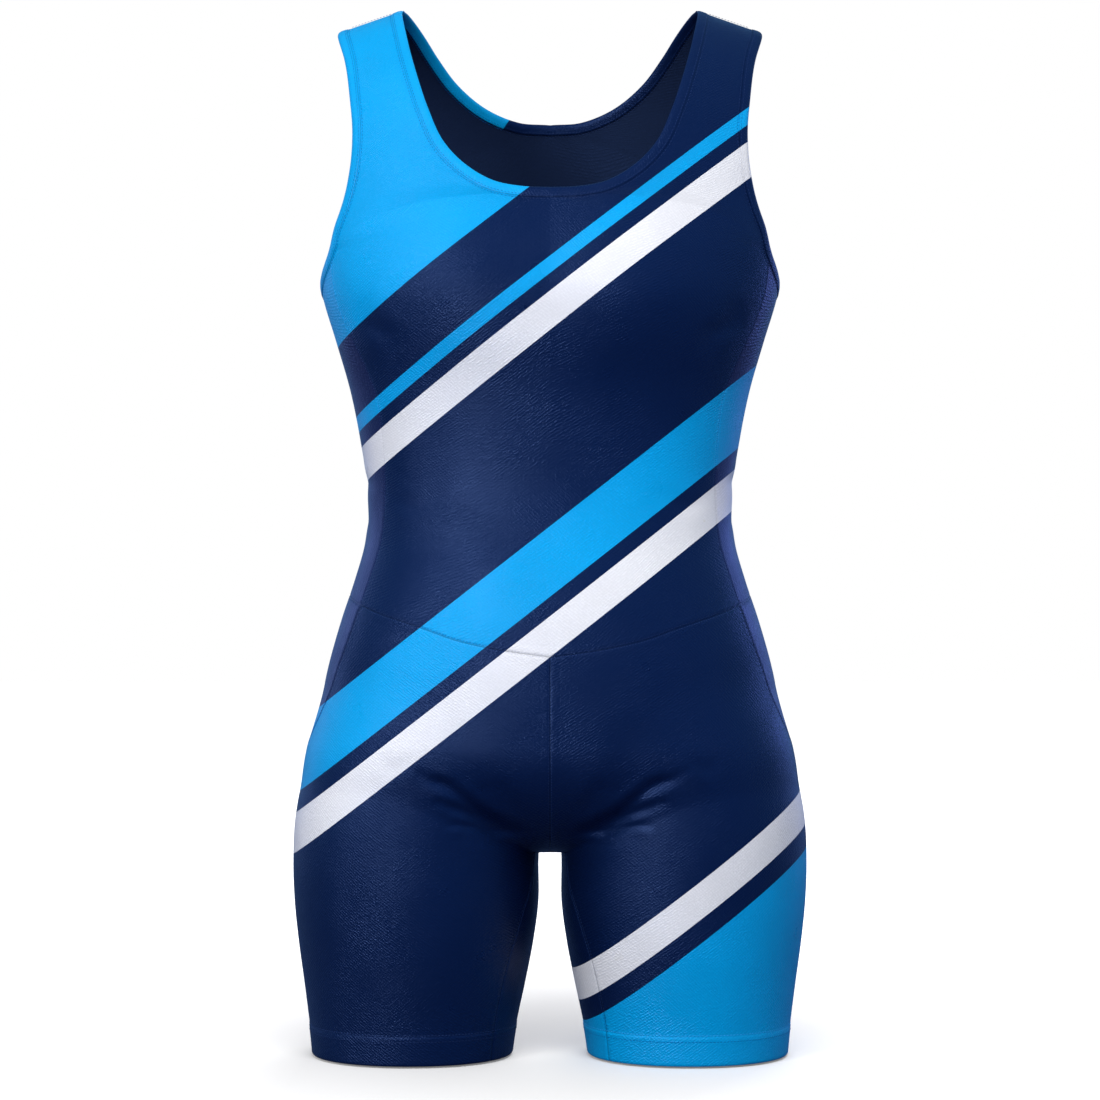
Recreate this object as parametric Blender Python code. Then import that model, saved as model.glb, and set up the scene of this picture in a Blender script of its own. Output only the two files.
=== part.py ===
"""A rowing unisuit, worn and hollow: sleeveless top and mid-thigh legs in one piece.

Units are metres, +Z is up, the front faces -Y, and "left" and "right" are the wearer's.
The origin lies midway between the shoulder straps, at the height of their tops.
The cloth follows one rounded form: a torso of oval sections that closes over the shoulders and
under the pelvis, joined softly to two legs of oval sections. Each cut piece is a grid of points
on that form between its own seams, thickened inwards into a wall.
"""

import bmesh
import bpy
import numpy as np

# Driving sizes
WALL = 0.0015  # thickness of the cloth
SEAM_GAP = 0.0003  # between one piece and the next
BINDING_WIDTH = 0.008
BINDING_RISE = 0.0006  # how far a binding stands out of the cloth, on either face
HEM_Z = -0.780
HEM_DEPTH = 0.022  # turned-up cloth
HEM_RISE = 0.0005  # how far the doubled cloth stands out
HEM_STEP = 0.0015  # height over which it does
CROTCH_Z = -0.628  # where the centre seams meet the gusset
STRAP_TOP_X = 0.1095  # inner edge of a strap, at the origin's height
SHOULDER_SLOPE = 0.344
SHOULDER_RADIUS = 0.120  # height over which the form closes to the shoulder ridge
PELVIS_BOTTOM_Z = -0.6305
PELVIS_RADIUS = 0.085  # height over which the form closes under the pelvis
TORSO_POWER = 2.35  # 2 is an ellipse, more is squarer
LEG_POWER = 2.15
GROIN_BLEND = 0.022  # softness of the joint between torso and leg
BUST = {"x": 0.074, "z": -0.222, "half_width": 0.052, "half_height": 0.052, "rise": 0.008}

# Torso sections: height, half width, depth in front of the centre, depth behind it
TORSO = (
    (0.040, 0.196, 0.066, 0.066),
    (0.000, 0.190, 0.070, 0.072),
    (-0.060, 0.183, 0.080, 0.082),
    (-0.141, 0.176, 0.094, 0.093),
    (-0.190, 0.1740, 0.106, 0.099),
    (-0.215, 0.1700, 0.109, 0.100),
    (-0.247, 0.1605, 0.106, 0.099),
    (-0.285, 0.1495, 0.098, 0.096),
    (-0.322, 0.1420, 0.093, 0.091),
    (-0.367, 0.1360, 0.092, 0.088),
    (-0.397, 0.1380, 0.096, 0.091),
    (-0.427, 0.1462, 0.104, 0.099),
    (-0.457, 0.1562, 0.110, 0.107),
    (-0.517, 0.1705, 0.114, 0.119),
    (-0.560, 0.1715, 0.113, 0.123),
    (-0.640, 0.1760, 0.106, 0.120),
)

# Leg sections: height, centre from the middle, half width, depth in front, depth behind
LEG = (
    (-0.440, 0.080, 0.040, 0.050, 0.050),
    (-0.500, 0.088, 0.062, 0.080, 0.088),
    (-0.560, 0.0960, 0.0845, 0.098, 0.108),
    (-0.600, 0.0985, 0.0915, 0.099, 0.110),
    (-0.636, 0.1003, 0.0918, 0.097, 0.106),
    (-0.667, 0.0998, 0.0912, 0.094, 0.099),
    (-0.697, 0.1002, 0.0877, 0.090, 0.095),
    (-0.727, 0.1011, 0.0827, 0.085, 0.091),
    (-0.757, 0.1024, 0.0776, 0.080, 0.086),
    (-0.800, 0.1035, 0.0725, 0.075, 0.081),
)

# Creases, as soft troughs between two points seen from the front or from behind:
# which side, then from x, z to x, z, then half width and depth
CREASES = (
    ("front", 0.074, -0.588, 0.012, -0.618, 0.0075, 0.0026),
    ("front", 0.098, -0.566, 0.060, -0.577, 0.0080, 0.0012),
    ("front", 0.064, -0.606, 0.024, -0.619, 0.0060, 0.0016),
    ("back", 0.110, -0.640, 0.020, -0.628, 0.0090, 0.0024),
    ("back", 0.086, -0.657, 0.034, -0.650, 0.0070, 0.0012),
    ("back", 0.088, -0.392, 0.020, -0.400, 0.0100, 0.0014),
)

# Edges of the garment, seen from the front or from behind: x, z
NECK_FRONT = (
    (0.0, -0.1420),
    (0.0200, -0.1412),
    (0.0400, -0.1372),
    (0.0590, -0.1265),
    (0.0770, -0.1080),
    (0.0890, -0.0820),
    (0.0970, -0.0580),
    (0.1030, -0.0370),
    (0.1075, -0.0180),
)
NECK_BACK = (
    (0.0, -0.0750),
    (0.0240, -0.0732),
    (0.0480, -0.0640),
    (0.0710, -0.0464),
    (0.0850, -0.0290),
    (0.0960, -0.0130),
)
NECK_RIDGE_X = 0.1095
ARMHOLE_RIDGE_X = 0.1575
ARMHOLE_FRONT = (
    (0.1526, -0.0412),
    (0.1476, -0.0738),
    (0.1455, -0.0971),
    (0.1465, -0.1200),
    (0.1495, -0.1380),
    (0.1540, -0.1540),
    (0.1590, -0.1675),
)
ARMHOLE_BACK = (
    (0.1526, -0.0412),
    (0.1478, -0.0738),
    (0.1460, -0.0980),
    (0.1468, -0.1220),
    (0.1495, -0.1440),
    (0.1545, -0.1640),
)
# The same edge under the arm, seen from the side: y, z. The first and last rows end at the seams.
UNDERARM = (
    (-0.0470, -0.1830),
    (-0.0260, -0.2005),
    (0.0, -0.2080),
    (0.0270, -0.2010),
    (0.0480, -0.1830),
)

# Side panel, seen from the side: height, y of its front seam, y of its back seam
SIDE_SEAMS = (
    (-0.180, -0.048, 0.052),
    (-0.225, -0.050, 0.052),
    (-0.262, -0.056, 0.054),
    (-0.290, -0.058, 0.055),
    (-0.320, -0.055, 0.053),
    (-0.367, -0.050, 0.050),
    (-0.415, -0.052, 0.055),
    (-0.450, -0.053, 0.062),
    (-0.490, -0.048, 0.072),
    (-0.515, -0.040, 0.078),
    (-0.535, -0.026, 0.081),
    (-0.552, -0.006, 0.083),
    (-0.580, 0.016, 0.085),
    (-0.620, 0.028, 0.084),
    (-0.680, 0.032, 0.078),
    (-0.790, 0.028, 0.066),
)

# Waist seam: degrees round from the front, height
WAIST_SEAM = (
    (0, -0.4810),
    (20, -0.4752),
    (32, -0.4696),
    (46, -0.4592),
    (60, -0.4502),
    (69, -0.4447),
    (90, -0.4372),
    (120, -0.4380),
    (150, -0.4430),
    (180, -0.4450),
)

# Inner-leg panel, on the inner side of a leg: height, y of its front seam, y of its back seam
GUSSET_SEAMS = (
    (-0.628, -0.0300, 0.0320),
    (-0.636, -0.0310, 0.0340),
    (-0.648, -0.0350, 0.0390),
    (-0.667, -0.0470, 0.0500),
    (-0.685, -0.0525, 0.0560),
    (-0.703, -0.0555, 0.0590),
    (-0.720, -0.0555, 0.0590),
    (-0.742, -0.0540, 0.0575),
    (-0.763, -0.0515, 0.0550),
    (-0.790, -0.0490, 0.0525),
)

# Cells of each grid
BODICE_ROWS = 15  # waist seam to the armhole's lower end
FRONT_STRAP_ROWS = 11  # from there to the shoulder
BACK_STRAP_ROWS = 10
HALF_BODICE_COLUMNS = 9
SIDE_COLUMNS = 6
SEAT_ROWS = 9  # waist seam to crotch
THIGH_ROWS = 9  # crotch to hem
THIGH_CROWDING = 1.35  # above 1 draws the thigh's rows up towards the crotch
LEG_FRONT_COLUMNS = 11
LEG_BACK_COLUMNS = 9
GUSSET_COLUMNS = 6
BINDING_SIDES = 10
BINDING_SQUARENESS = 0.55  # 1 is an oval section, less is squarer

NAVY = (0.0086, 0.0203, 0.0742)
NAVY_SIDE = (0.0212, 0.0296, 0.1170)
SKY = (0.0, 0.3916, 0.9131)


# Tables and curves

def hermite(table, column):
    """A smooth function through one column of a table, against its first column."""
    rows = np.array([(row[0], row[column]) for row in table], float)
    rows = rows[np.argsort(rows[:, 0])]
    at, value = rows.T
    slope = np.gradient(value, at)

    def read(where):
        where = np.clip(where, at[0], at[-1])
        low = np.clip(np.searchsorted(at, where) - 1, 0, len(at) - 2)
        step = at[low + 1] - at[low]
        t = (where - at[low]) / step
        return (
            (2 * t**3 - 3 * t**2 + 1) * value[low]
            + (t**3 - 2 * t**2 + t) * step * slope[low]
            + (3 * t**2 - 2 * t**3) * value[low + 1]
            + (t**3 - t**2) * step * slope[low + 1]
        )

    return read


torso_width, torso_front, torso_back = (hermite(TORSO, column) for column in (1, 2, 3))
leg_centre, leg_width, leg_front_depth, leg_back_depth = (hermite(LEG, column) for column in (1, 2, 3, 4))
side_front_y, side_back_y = (hermite(SIDE_SEAMS, column) for column in (1, 2))
gusset_front_y, gusset_back_y = (hermite(GUSSET_SEAMS, column) for column in (1, 2))
waist_z = hermite(WAIST_SEAM, 1)


def smooth_step(t):
    t = np.clip(t, 0, 1)
    return t * t * (3 - 2 * t)


def rounding(t):
    """A quarter circle: 0 at t = 0, rising steeply, and level at 1."""
    return np.sqrt(np.clip(1 - (1 - np.clip(t, 1e-6, 1)) ** 2, 1e-9, 1))


def lengths_along(points):
    steps = np.linalg.norm(np.diff(points, axis=0), axis=1)
    return np.concatenate([[0], np.cumsum(steps)])


def spline(points, count=240):
    """A dense smooth curve through points."""
    points = np.array(points, float)
    along = lengths_along(points)
    columns = [hermite(np.column_stack([along, points[:, axis]]), 1) for axis in range(3)]
    at = np.linspace(0, along[-1], count)
    return np.column_stack([column(at) for column in columns])


def even_points(curve, cells):
    along = lengths_along(curve)
    at = np.linspace(0, along[-1], cells + 1)
    return np.column_stack([np.interp(at, along, curve[:, axis]) for axis in range(3)])


# The form

def oval(x, y, half_width, front, back, power):
    depth = np.where(y < 0, front, back)
    reach = (np.abs(x) / half_width) ** power + (np.abs(y) / depth) ** power
    return reach ** (1 / power) - 1


def ridge_height(x):
    return (STRAP_TOP_X - np.abs(x)) * SHOULDER_SLOPE


def torso(x, y, z):
    over = rounding((ridge_height(x) - z) / SHOULDER_RADIUS)
    under = rounding((z - PELVIS_BOTTOM_Z) / PELVIS_RADIUS)
    bust = BUST["rise"] * np.exp(
        -(((np.abs(x) - BUST["x"]) / BUST["half_width"]) ** 2) - ((z - BUST["z"]) / BUST["half_height"]) ** 2
    )
    front = (torso_front(z) + bust) * over * under
    back = torso_back(z) * over * under
    past_end = np.maximum(z - ridge_height(x), PELVIS_BOTTOM_Z - z)
    return np.maximum(oval(x, y, torso_width(z) * under, front, back, TORSO_POWER) * 0.1, past_end)


def leg(x, y, z):
    around = oval(np.abs(x) - leg_centre(z), y, leg_width(z), leg_front_depth(z), leg_back_depth(z), LEG_POWER)
    return np.maximum(around * 0.085, z - LEG[0][0])


def creases(x, y, z):
    depth = np.zeros_like(x)
    for side, x0, z0, x1, z1, half_width, deep in CREASES:
        run = np.array([x1 - x0, z1 - z0])
        t = ((np.abs(x) - x0) * run[0] + (z - z0) * run[1]) / (run @ run)
        away = np.hypot(np.abs(x) - x0 - t * run[0], z - z0 - t * run[1])
        along = np.sin(np.pi * np.clip(t, 0, 1)) ** 0.7
        here = y < 0 if side == "front" else y > 0
        depth = depth + np.where(here, deep * along * np.exp(-((away / half_width) ** 2)), 0)
    return depth


def form(points):
    """Below zero inside the form, above zero outside it, and about a distance near it."""
    x, y, z = np.moveaxis(np.asarray(points, float), -1, 0)
    body, thigh = torso(x, y, z), leg(x, y, z)
    mix = np.maximum(GROIN_BLEND - np.abs(body - thigh), 0) / GROIN_BLEND
    return np.minimum(body, thigh) - mix**2 * GROIN_BLEND / 4 + creases(x, y, z)


def normals(points):
    step = 2e-4
    grown = [form(points + step * axis) - form(points - step * axis) for axis in np.eye(3)]
    grown = np.stack(grown, axis=-1)
    return grown / np.linalg.norm(grown, axis=-1, keepdims=True)


def cast(origins, directions, reach=0.32, stride=0.005):
    """Where rays from inside the form first leave it."""
    origins, directions = np.broadcast_arrays(np.asarray(origins, float), np.asarray(directions, float))
    directions = directions / np.linalg.norm(directions, axis=-1, keepdims=True)
    high = np.full(origins.shape[:-1], reach)
    for distance in np.arange(reach, 0, -stride):
        outside = form(origins + distance * directions) > 0
        high = np.where(outside, distance, high)
    low = np.maximum(high - stride, 0)
    for _ in range(24):
        middle = (low + high) / 2
        inside = form(origins + middle[..., None] * directions) < 0
        low, high = np.where(inside, middle, low), np.where(inside, high, middle)
    return origins + low[..., None] * directions


def cast_towards(origins, points):
    return cast(origins, np.asarray(points, float) - origins)


def on_face(x, z, way):
    """The point of the form at x, z: way is -1 on its front and 1 on its back."""
    x, z = np.broadcast_arrays(np.asarray(x, float), np.asarray(z, float))
    return cast(np.stack([x, np.zeros_like(x), z], axis=-1), (0, way, 0))


def on_side(y, z):
    y, z = np.broadcast_arrays(np.asarray(y, float), np.asarray(z, float))
    return cast(np.stack([leg_shift(z), y, z], axis=-1), (1, 0, 0))


def on_inner_leg(y, z):
    return cast(np.stack([leg_centre(z), y, z], axis=-1), (-1, 0, 0))


def leg_shift(z):
    """How far from the middle the rays start: 0 at the waist, a leg's centre at the crotch."""
    return leg_centre(z) * smooth_step((-0.490 - z) / 0.110)


def bearing(points):
    """Angle round from the front, in degrees, about the middle or the leg's centre."""
    points = np.asarray(points, float)
    return np.degrees(np.arctan2(points[..., 0] - leg_shift(points[..., 2]), -points[..., 1]))


def at_bearing(angle, z):
    angle, z = np.broadcast_arrays(np.radians(angle), np.asarray(z, float))
    start = np.stack([leg_shift(z), np.zeros_like(z), z], axis=-1)
    return cast(start, np.stack([np.sin(angle), -np.cos(angle), np.zeros_like(angle)], axis=-1))


# Edges of the neck and armhole

CHEST_CENTRE = np.array([0.0, 0.0, -0.230])  # rays to the shoulders start here
NECK_CENTRE = np.array([0.0, 0.0, -0.030])
ARMHOLE_CENTRE = np.array([0.160, 0.0, -0.110])


def ridge_point(x):
    return np.array([x, 0.0, ridge_height(x)])


def settle(curve):
    return cast_towards(np.broadcast_to(CHEST_CENTRE, curve.shape), curve)


def edge_curve(rows, way, end_x):
    points = [on_face(x, z, way) for x, z in rows] + [ridge_point(end_x)]
    return settle(spline(points))


def inward(curve, hole_centre):
    """Directions on the form, square to the edge, that point into the cloth."""
    across = np.cross(np.gradient(curve, axis=0), normals(curve))
    outwards = np.sum(across * (curve - hole_centre), axis=1, keepdims=True)
    return across * np.where(outwards < 0, -1, 1) / np.linalg.norm(across, axis=1, keepdims=True)


def moved_in(curve, directions, distance):
    return settle(curve + directions * distance)


def neck_edges():
    """The neck's edge from the middle of the front, over the shoulder, to the middle of the back."""
    front = even_points(edge_curve(NECK_FRONT, -1, NECK_RIDGE_X), FRONT_STRAP_ROWS)
    back = even_points(edge_curve(NECK_BACK, 1, NECK_RIDGE_X), BACK_STRAP_ROWS)
    loop = np.concatenate([front, back[::-1][1:]])
    directions = inward(loop, NECK_CENTRE)
    directions[[0, -1], 0] = 0
    return loop, directions


def armhole_edges():
    """The armhole's edge from the shoulder down the front, under the arm and up the back."""
    ridge = ridge_point(ARMHOLE_RIDGE_X)
    front = [on_face(x, z, -1) for x, z in ARMHOLE_FRONT]
    under = [on_side(y, z) for y, z in UNDERARM]
    back = [on_face(x, z, 1) for x, z in reversed(ARMHOLE_BACK)]
    whole = settle(spline([ridge, *front, *under, *back, ridge], 600))
    first, last = (np.argmin(np.linalg.norm(whole - under[end], axis=1)) for end in (0, -1))
    parts = (
        even_points(whole[: first + 1], FRONT_STRAP_ROWS),
        even_points(whole[first : last + 1], SIDE_COLUMNS),
        even_points(whole[last:], BACK_STRAP_ROWS),
    )
    loop = np.concatenate([parts[0], parts[1][1:], parts[2][1:-1]])
    ring = np.concatenate([loop[-1:], loop, loop[:1]])
    return loop, inward(ring, ARMHOLE_CENTRE)[1:-1]


# Grids of points

GUSSET_RAY = 0.060  # how far inside the form its rays start
GUSSET_TURN = 0.010  # drop in height over which they turn most of the way

def along_rows(first, last, columns):
    return first + (last - first) * np.linspace(0, 1, columns + 1)[None, :]


def level_rows(first, last, top, columns):
    """Rows of points round the form between two boundaries.

    Their heights pass from the waist seam's, in the first row, to top's in the last.
    """
    bearings = along_rows(bearing(first)[:, None], bearing(last)[:, None], columns)
    share = seam_shares()[:, None]
    heights = waist_z(bearings[0])[None, :] * (1 - share) + top[None, :] * share
    grid = at_bearing(bearings, heights)
    grid[:, 0], grid[:, -1] = first, last
    return grid


def seam_shares():
    return np.linspace(0, 1, BODICE_ROWS + 1)


def side_seam(end, table_y, bottom_z):
    """The side panel's seam from the waist seam up to a point of the armhole."""
    share = seam_shares()
    z = bottom_z + (end[2] - bottom_z) * share
    y = table_y(z) + share**3 * (end[1] - table_y(end[2]))
    points = on_side(y, z)
    points[-1] = end
    return points


def waist_height(table_y):
    """Height at which a side seam crosses the waist seam."""
    z = -0.445
    for _ in range(12):
        z = float(waist_z(bearing(on_side(table_y(z), z))))
    return z


def bodice_half(neck, armhole, seam, way):
    """Half of the front or back: rows up to the armhole, then rows from neck to armhole."""
    share = seam_shares()
    base_z = float(waist_z(0.0 if way < 0 else 180.0))
    middle = on_face(0.0, base_z + (neck[0, 2] - base_z) * share, way)
    middle[-1] = neck[0]
    top = np.linspace(neck[0, 2], armhole[0, 2], HALF_BODICE_COLUMNS + 1)
    lower = level_rows(middle, seam, top, HALF_BODICE_COLUMNS)
    lower[:, 0, 0] = 0
    mix = np.linspace(0, 1, HALF_BODICE_COLUMNS + 1)[None, :, None]
    chords = neck[1:, None] * (1 - mix) + armhole[1:, None] * mix
    upper = cast_towards(np.broadcast_to(CHEST_CENTRE, chords.shape), chords)
    upper[:, 0], upper[:, -1] = neck[1:], armhole[1:]
    return np.concatenate([lower, upper])


def lower_shares():
    """Shares of the way from waist seam to hem: the crotch is a row, and so are the hem's two lines."""
    middle = float(waist_z(0.0))
    crotch = (middle - CROTCH_Z) / (middle - HEM_Z)
    hem, step = HEM_DEPTH / (middle - HEM_Z), HEM_STEP / (middle - HEM_Z)
    seat = crotch * np.linspace(0, 1, SEAT_ROWS + 1)
    thigh = crotch + (1 - hem - crotch) * np.linspace(0, 1, THIGH_ROWS) ** THIGH_CROWDING
    return np.concatenate([seat, thigh[1:], [1 - hem + step, 1 - hem / 2, 1]])


def inner_boundary(way):
    """Centre seam down to the crotch, then the gusset's seam down to the hem."""
    share = lower_shares()
    start = float(waist_z(0.0 if way < 0 else 180.0))
    crotch_share = share[SEAT_ROWS]
    above = start + (CROTCH_Z - start) * share / crotch_share
    below = CROTCH_Z + (HEM_Z - CROTCH_Z) * (share - crotch_share) / (1 - crotch_share)
    y = (gusset_front_y if way < 0 else gusset_back_y)(below)
    on_centre = (share <= crotch_share)[:, None]
    return np.where(on_centre, on_face(0.0, above, way), on_inner_leg(y, below))


def outer_boundary(table_y, start):
    z = start + (HEM_Z - start) * lower_shares()
    return on_side(table_y(z), z)


def lower_panel(first, last, columns, behind=False):
    """A panel from waist seam to hem. One that passes behind counts its angles on past 180."""
    ends = [bearing(points)[:, None] for points in (first, last)]
    if behind:
        ends = [np.where(angle < 0, angle + 360, angle) for angle in ends]
    bearings = along_rows(*ends, columns)
    share = lower_shares()
    mix = np.linspace(0, 1, columns + 1)[None, :]
    heights = first[:, 2:3] * (1 - mix) + last[:, 2:3] * mix
    seam_dip = waist_z(bearings[0]) - heights[0]
    grid = at_bearing(bearings, heights + seam_dip[None, :] * (1 - share[:, None]) ** 2)
    grid[:, 0], grid[:, -1] = first, last
    return grid


def gusset_half(front, back):
    """From the crotch down one leg: the first row runs from front to back under the crotch.

    The rays that find its points turn from straight down, under the crotch, to level.
    """
    mix = np.linspace(0, 1, GUSSET_COLUMNS + 1)[None, :, None]
    chords = front[:, None] * (1 - mix) + back[:, None] * mix
    tilt = np.pi / 2 * np.exp((front[:, 2:3] - CROTCH_Z) / GUSSET_TURN)
    way = np.stack([np.cos(tilt), 0 * tilt, np.sin(tilt)], axis=-1)
    grid = cast(chords + GUSSET_RAY * way, -way)
    grid[:, 0], grid[:, -1] = front, back
    grid[0, :, 0] = 0
    return grid


# Solids

def draw_back(grid, sides):
    """Moves the named borders half a seam gap into the piece."""
    moved = grid.copy()
    borders = {
        "first_column": (np.s_[:, 0], np.s_[:, 1]),
        "last_column": (np.s_[:, -1], np.s_[:, -2]),
        "first_row": (np.s_[0], np.s_[1]),
        "last_row": (np.s_[-1], np.s_[-2]),
    }
    for side in sides:
        edge, inner = borders[side]
        way = grid[inner] - grid[edge]
        moved[edge] += way / np.linalg.norm(way, axis=-1, keepdims=True) * SEAM_GAP / 2
    return moved


def material(name, colour, roughness):
    made = bpy.data.materials.new(name)
    made.use_nodes = True
    shader = made.node_tree.nodes["Principled BSDF"]
    shader.inputs["Base Color"].default_value = (*colour, 1)
    shader.inputs["Roughness"].default_value = roughness
    made.diffuse_color = (*colour, 1)
    return made


def finish(bm, name, finish_material, collection):
    bmesh.ops.recalc_face_normals(bm, faces=bm.faces[:])
    if bm.calc_volume(signed=True) < 0:
        bmesh.ops.reverse_faces(bm, faces=bm.faces[:])
    mesh = bpy.data.meshes.new(name)
    bm.to_mesh(mesh)
    bm.free()
    mesh.shade_smooth()
    mesh.set_sharp_from_angle(angle=np.radians(40))
    mesh.materials.append(finish_material)
    made = bpy.data.objects.new(name, mesh)
    collection.objects.link(made)
    return made


def grid_mesh(grid):
    rows, columns = grid.shape[:2]
    bm = bmesh.new()
    bmesh.ops.create_grid(bm, x_segments=columns - 1, y_segments=rows - 1, size=1)
    for vert, point in zip(bm.verts, grid.reshape(-1, 3)):
        vert.co = point
    return bm


def hem_rise(z):
    return HEM_RISE * smooth_step((HEM_Z + HEM_DEPTH - z) / HEM_STEP)


def panel(name, grid, sides, finish_material, collection, mirrored=False, whole=False):
    """A wall of cloth on a grid of points.

    mirrored makes the wearer's right-hand piece, and whole joins both halves at the middle.
    """
    bm = grid_mesh(draw_back(grid, sides))
    if mirrored:
        bmesh.ops.scale(bm, verts=bm.verts[:], vec=(-1, 1, 1))
    if whole:
        bmesh.ops.mirror(bm, geom=bm.verts[:] + bm.edges[:] + bm.faces[:], merge_dist=1e-5, axis="X")
    made = bmesh.ops.extrude_face_region(bm, geom=bm.faces[:])
    inner = [item for item in made["geom"] if isinstance(item, bmesh.types.BMVert)]
    outer = [vert for vert in bm.verts if vert not in set(inner)]
    directions = normals(np.array([vert.co for vert in inner]))
    for vert, way in zip(inner, directions):
        vert.co -= type(vert.co)(way * WALL)
    directions = normals(np.array([vert.co for vert in outer]))
    for vert, way in zip(outer, directions):
        vert.co += type(vert.co)(way * float(hem_rise(vert.co.z)))
    return finish(bm, name, finish_material, collection)


def binding(name, loop, directions, finish_material, collection, mirrored=False):
    """A rounded strip round an opening: loop is its edge, and directions point into the cloth."""
    turn = np.linspace(0, 2 * np.pi, BINDING_SIDES + 1)
    side, top = (np.sign(wave) * np.abs(wave) ** BINDING_SQUARENESS for wave in (np.cos(turn), np.sin(turn)))
    across = BINDING_WIDTH / 2 * (1 - side)
    up = (WALL / 2 + BINDING_RISE) * top - WALL / 2
    base = np.stack([moved_in(loop, directions, distance) for distance in across], axis=1)
    grid = base + normals(base) * up[None, :, None]
    grid = np.concatenate([grid, grid[:1]])
    bm = grid_mesh(grid)
    bmesh.ops.remove_doubles(bm, verts=bm.verts[:], dist=1e-6)
    if mirrored:
        bmesh.ops.scale(bm, verts=bm.verts[:], vec=(-1, 1, 1))
    return finish(bm, name, finish_material, collection)


def neck_loop(half, directions):
    """Both halves of the neck's edge, as one ring."""
    flip = np.array([-1, 1, 1])
    return (
        np.concatenate([half, half[-2:0:-1] * flip]),
        np.concatenate([directions, directions[-2:0:-1] * flip]),
    )


def build():
    for item in list(bpy.data.objects):
        bpy.data.objects.remove(item)
    suit = bpy.data.collections.new("rowing_unisuit")
    bpy.context.scene.collection.children.link(suit)
    navy = material("navy knit", NAVY, 0.48)
    navy_side = material("navy side knit", NAVY_SIDE, 0.42)
    sky = material("sky knit", SKY, 0.45)

    neck, neck_ways = neck_edges()
    armhole, armhole_ways = armhole_edges()
    inset = BINDING_WIDTH + SEAM_GAP
    neck_line = moved_in(neck, neck_ways, inset)
    neck_line[[0, -1], 0] = 0
    arm_line = moved_in(armhole, armhole_ways, inset)
    neck_front = neck_line[: FRONT_STRAP_ROWS + 1]
    neck_back = neck_line[FRONT_STRAP_ROWS:][::-1]
    arm_front = arm_line[: FRONT_STRAP_ROWS + 1][::-1]
    arm_under = arm_line[FRONT_STRAP_ROWS : FRONT_STRAP_ROWS + SIDE_COLUMNS + 1]
    arm_back = np.concatenate([arm_line[FRONT_STRAP_ROWS + SIDE_COLUMNS :], arm_line[:1]])

    front_waist, back_waist = waist_height(side_front_y), waist_height(side_back_y)
    front_seam = side_seam(arm_front[0], side_front_y, front_waist)
    back_seam = side_seam(arm_back[0], side_back_y, back_waist)
    front = bodice_half(neck_front, arm_front, front_seam, -1)
    back = bodice_half(neck_back, arm_back, back_seam, 1)
    panel("front_bodice", front, ("first_row", "last_row"), navy, suit, whole=True)
    panel("back_bodice", back, ("first_row", "last_row"), navy, suit, whole=True)
    side_upper = level_rows(front_seam, back_seam, arm_under[:, 2], SIDE_COLUMNS)
    side_upper[-1] = arm_under

    front_inner, back_inner = inner_boundary(-1), inner_boundary(1)
    front_outer = outer_boundary(side_front_y, front_waist)
    back_outer = outer_boundary(side_back_y, back_waist)
    leg_front = lower_panel(front_inner, front_outer, LEG_FRONT_COLUMNS)
    side_lower = lower_panel(front_outer, back_outer, SIDE_COLUMNS)
    leg_back = lower_panel(back_outer, back_inner, LEG_BACK_COLUMNS, behind=True)

    seams = ("first_column", "last_column")
    for side, mirrored in (("left", False), ("right", True)):
        panel(f"side_upper_{side}", side_upper, (*seams, "first_row"), navy_side, suit, mirrored)
        panel(f"side_lower_{side}", side_lower, (*seams, "first_row"), navy_side, suit, mirrored)
        panel(f"leg_front_{side}", leg_front, (*seams, "first_row"), navy, suit, mirrored)
        panel(f"leg_back_{side}", leg_back, (*seams, "first_row"), navy, suit, mirrored)
        binding(f"armhole_binding_{side}", armhole, armhole_ways, navy if side == "left" else sky, suit, mirrored)
    gusset = gusset_half(front_inner[SEAT_ROWS:], back_inner[SEAT_ROWS:])
    panel("gusset", gusset, seams, navy, suit, whole=True)
    binding("neck_binding", *neck_loop(neck, neck_ways), navy, suit)


build()
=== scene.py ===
import bmesh
import bpy
import numpy as np
from mathutils import Matrix, Vector


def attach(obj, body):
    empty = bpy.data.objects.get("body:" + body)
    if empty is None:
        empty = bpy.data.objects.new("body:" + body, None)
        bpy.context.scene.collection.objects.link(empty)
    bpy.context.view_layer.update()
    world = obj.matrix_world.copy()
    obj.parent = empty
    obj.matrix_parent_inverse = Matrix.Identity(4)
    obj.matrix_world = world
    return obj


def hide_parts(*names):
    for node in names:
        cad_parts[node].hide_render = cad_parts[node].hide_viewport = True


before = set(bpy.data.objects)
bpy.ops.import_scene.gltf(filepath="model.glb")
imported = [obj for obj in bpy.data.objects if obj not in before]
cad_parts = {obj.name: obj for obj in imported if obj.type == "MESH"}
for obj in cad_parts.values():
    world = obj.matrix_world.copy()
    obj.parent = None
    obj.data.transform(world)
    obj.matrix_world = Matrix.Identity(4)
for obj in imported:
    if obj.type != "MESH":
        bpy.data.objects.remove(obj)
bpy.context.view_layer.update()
print("frame loaded:", len(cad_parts), "nodes")

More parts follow.
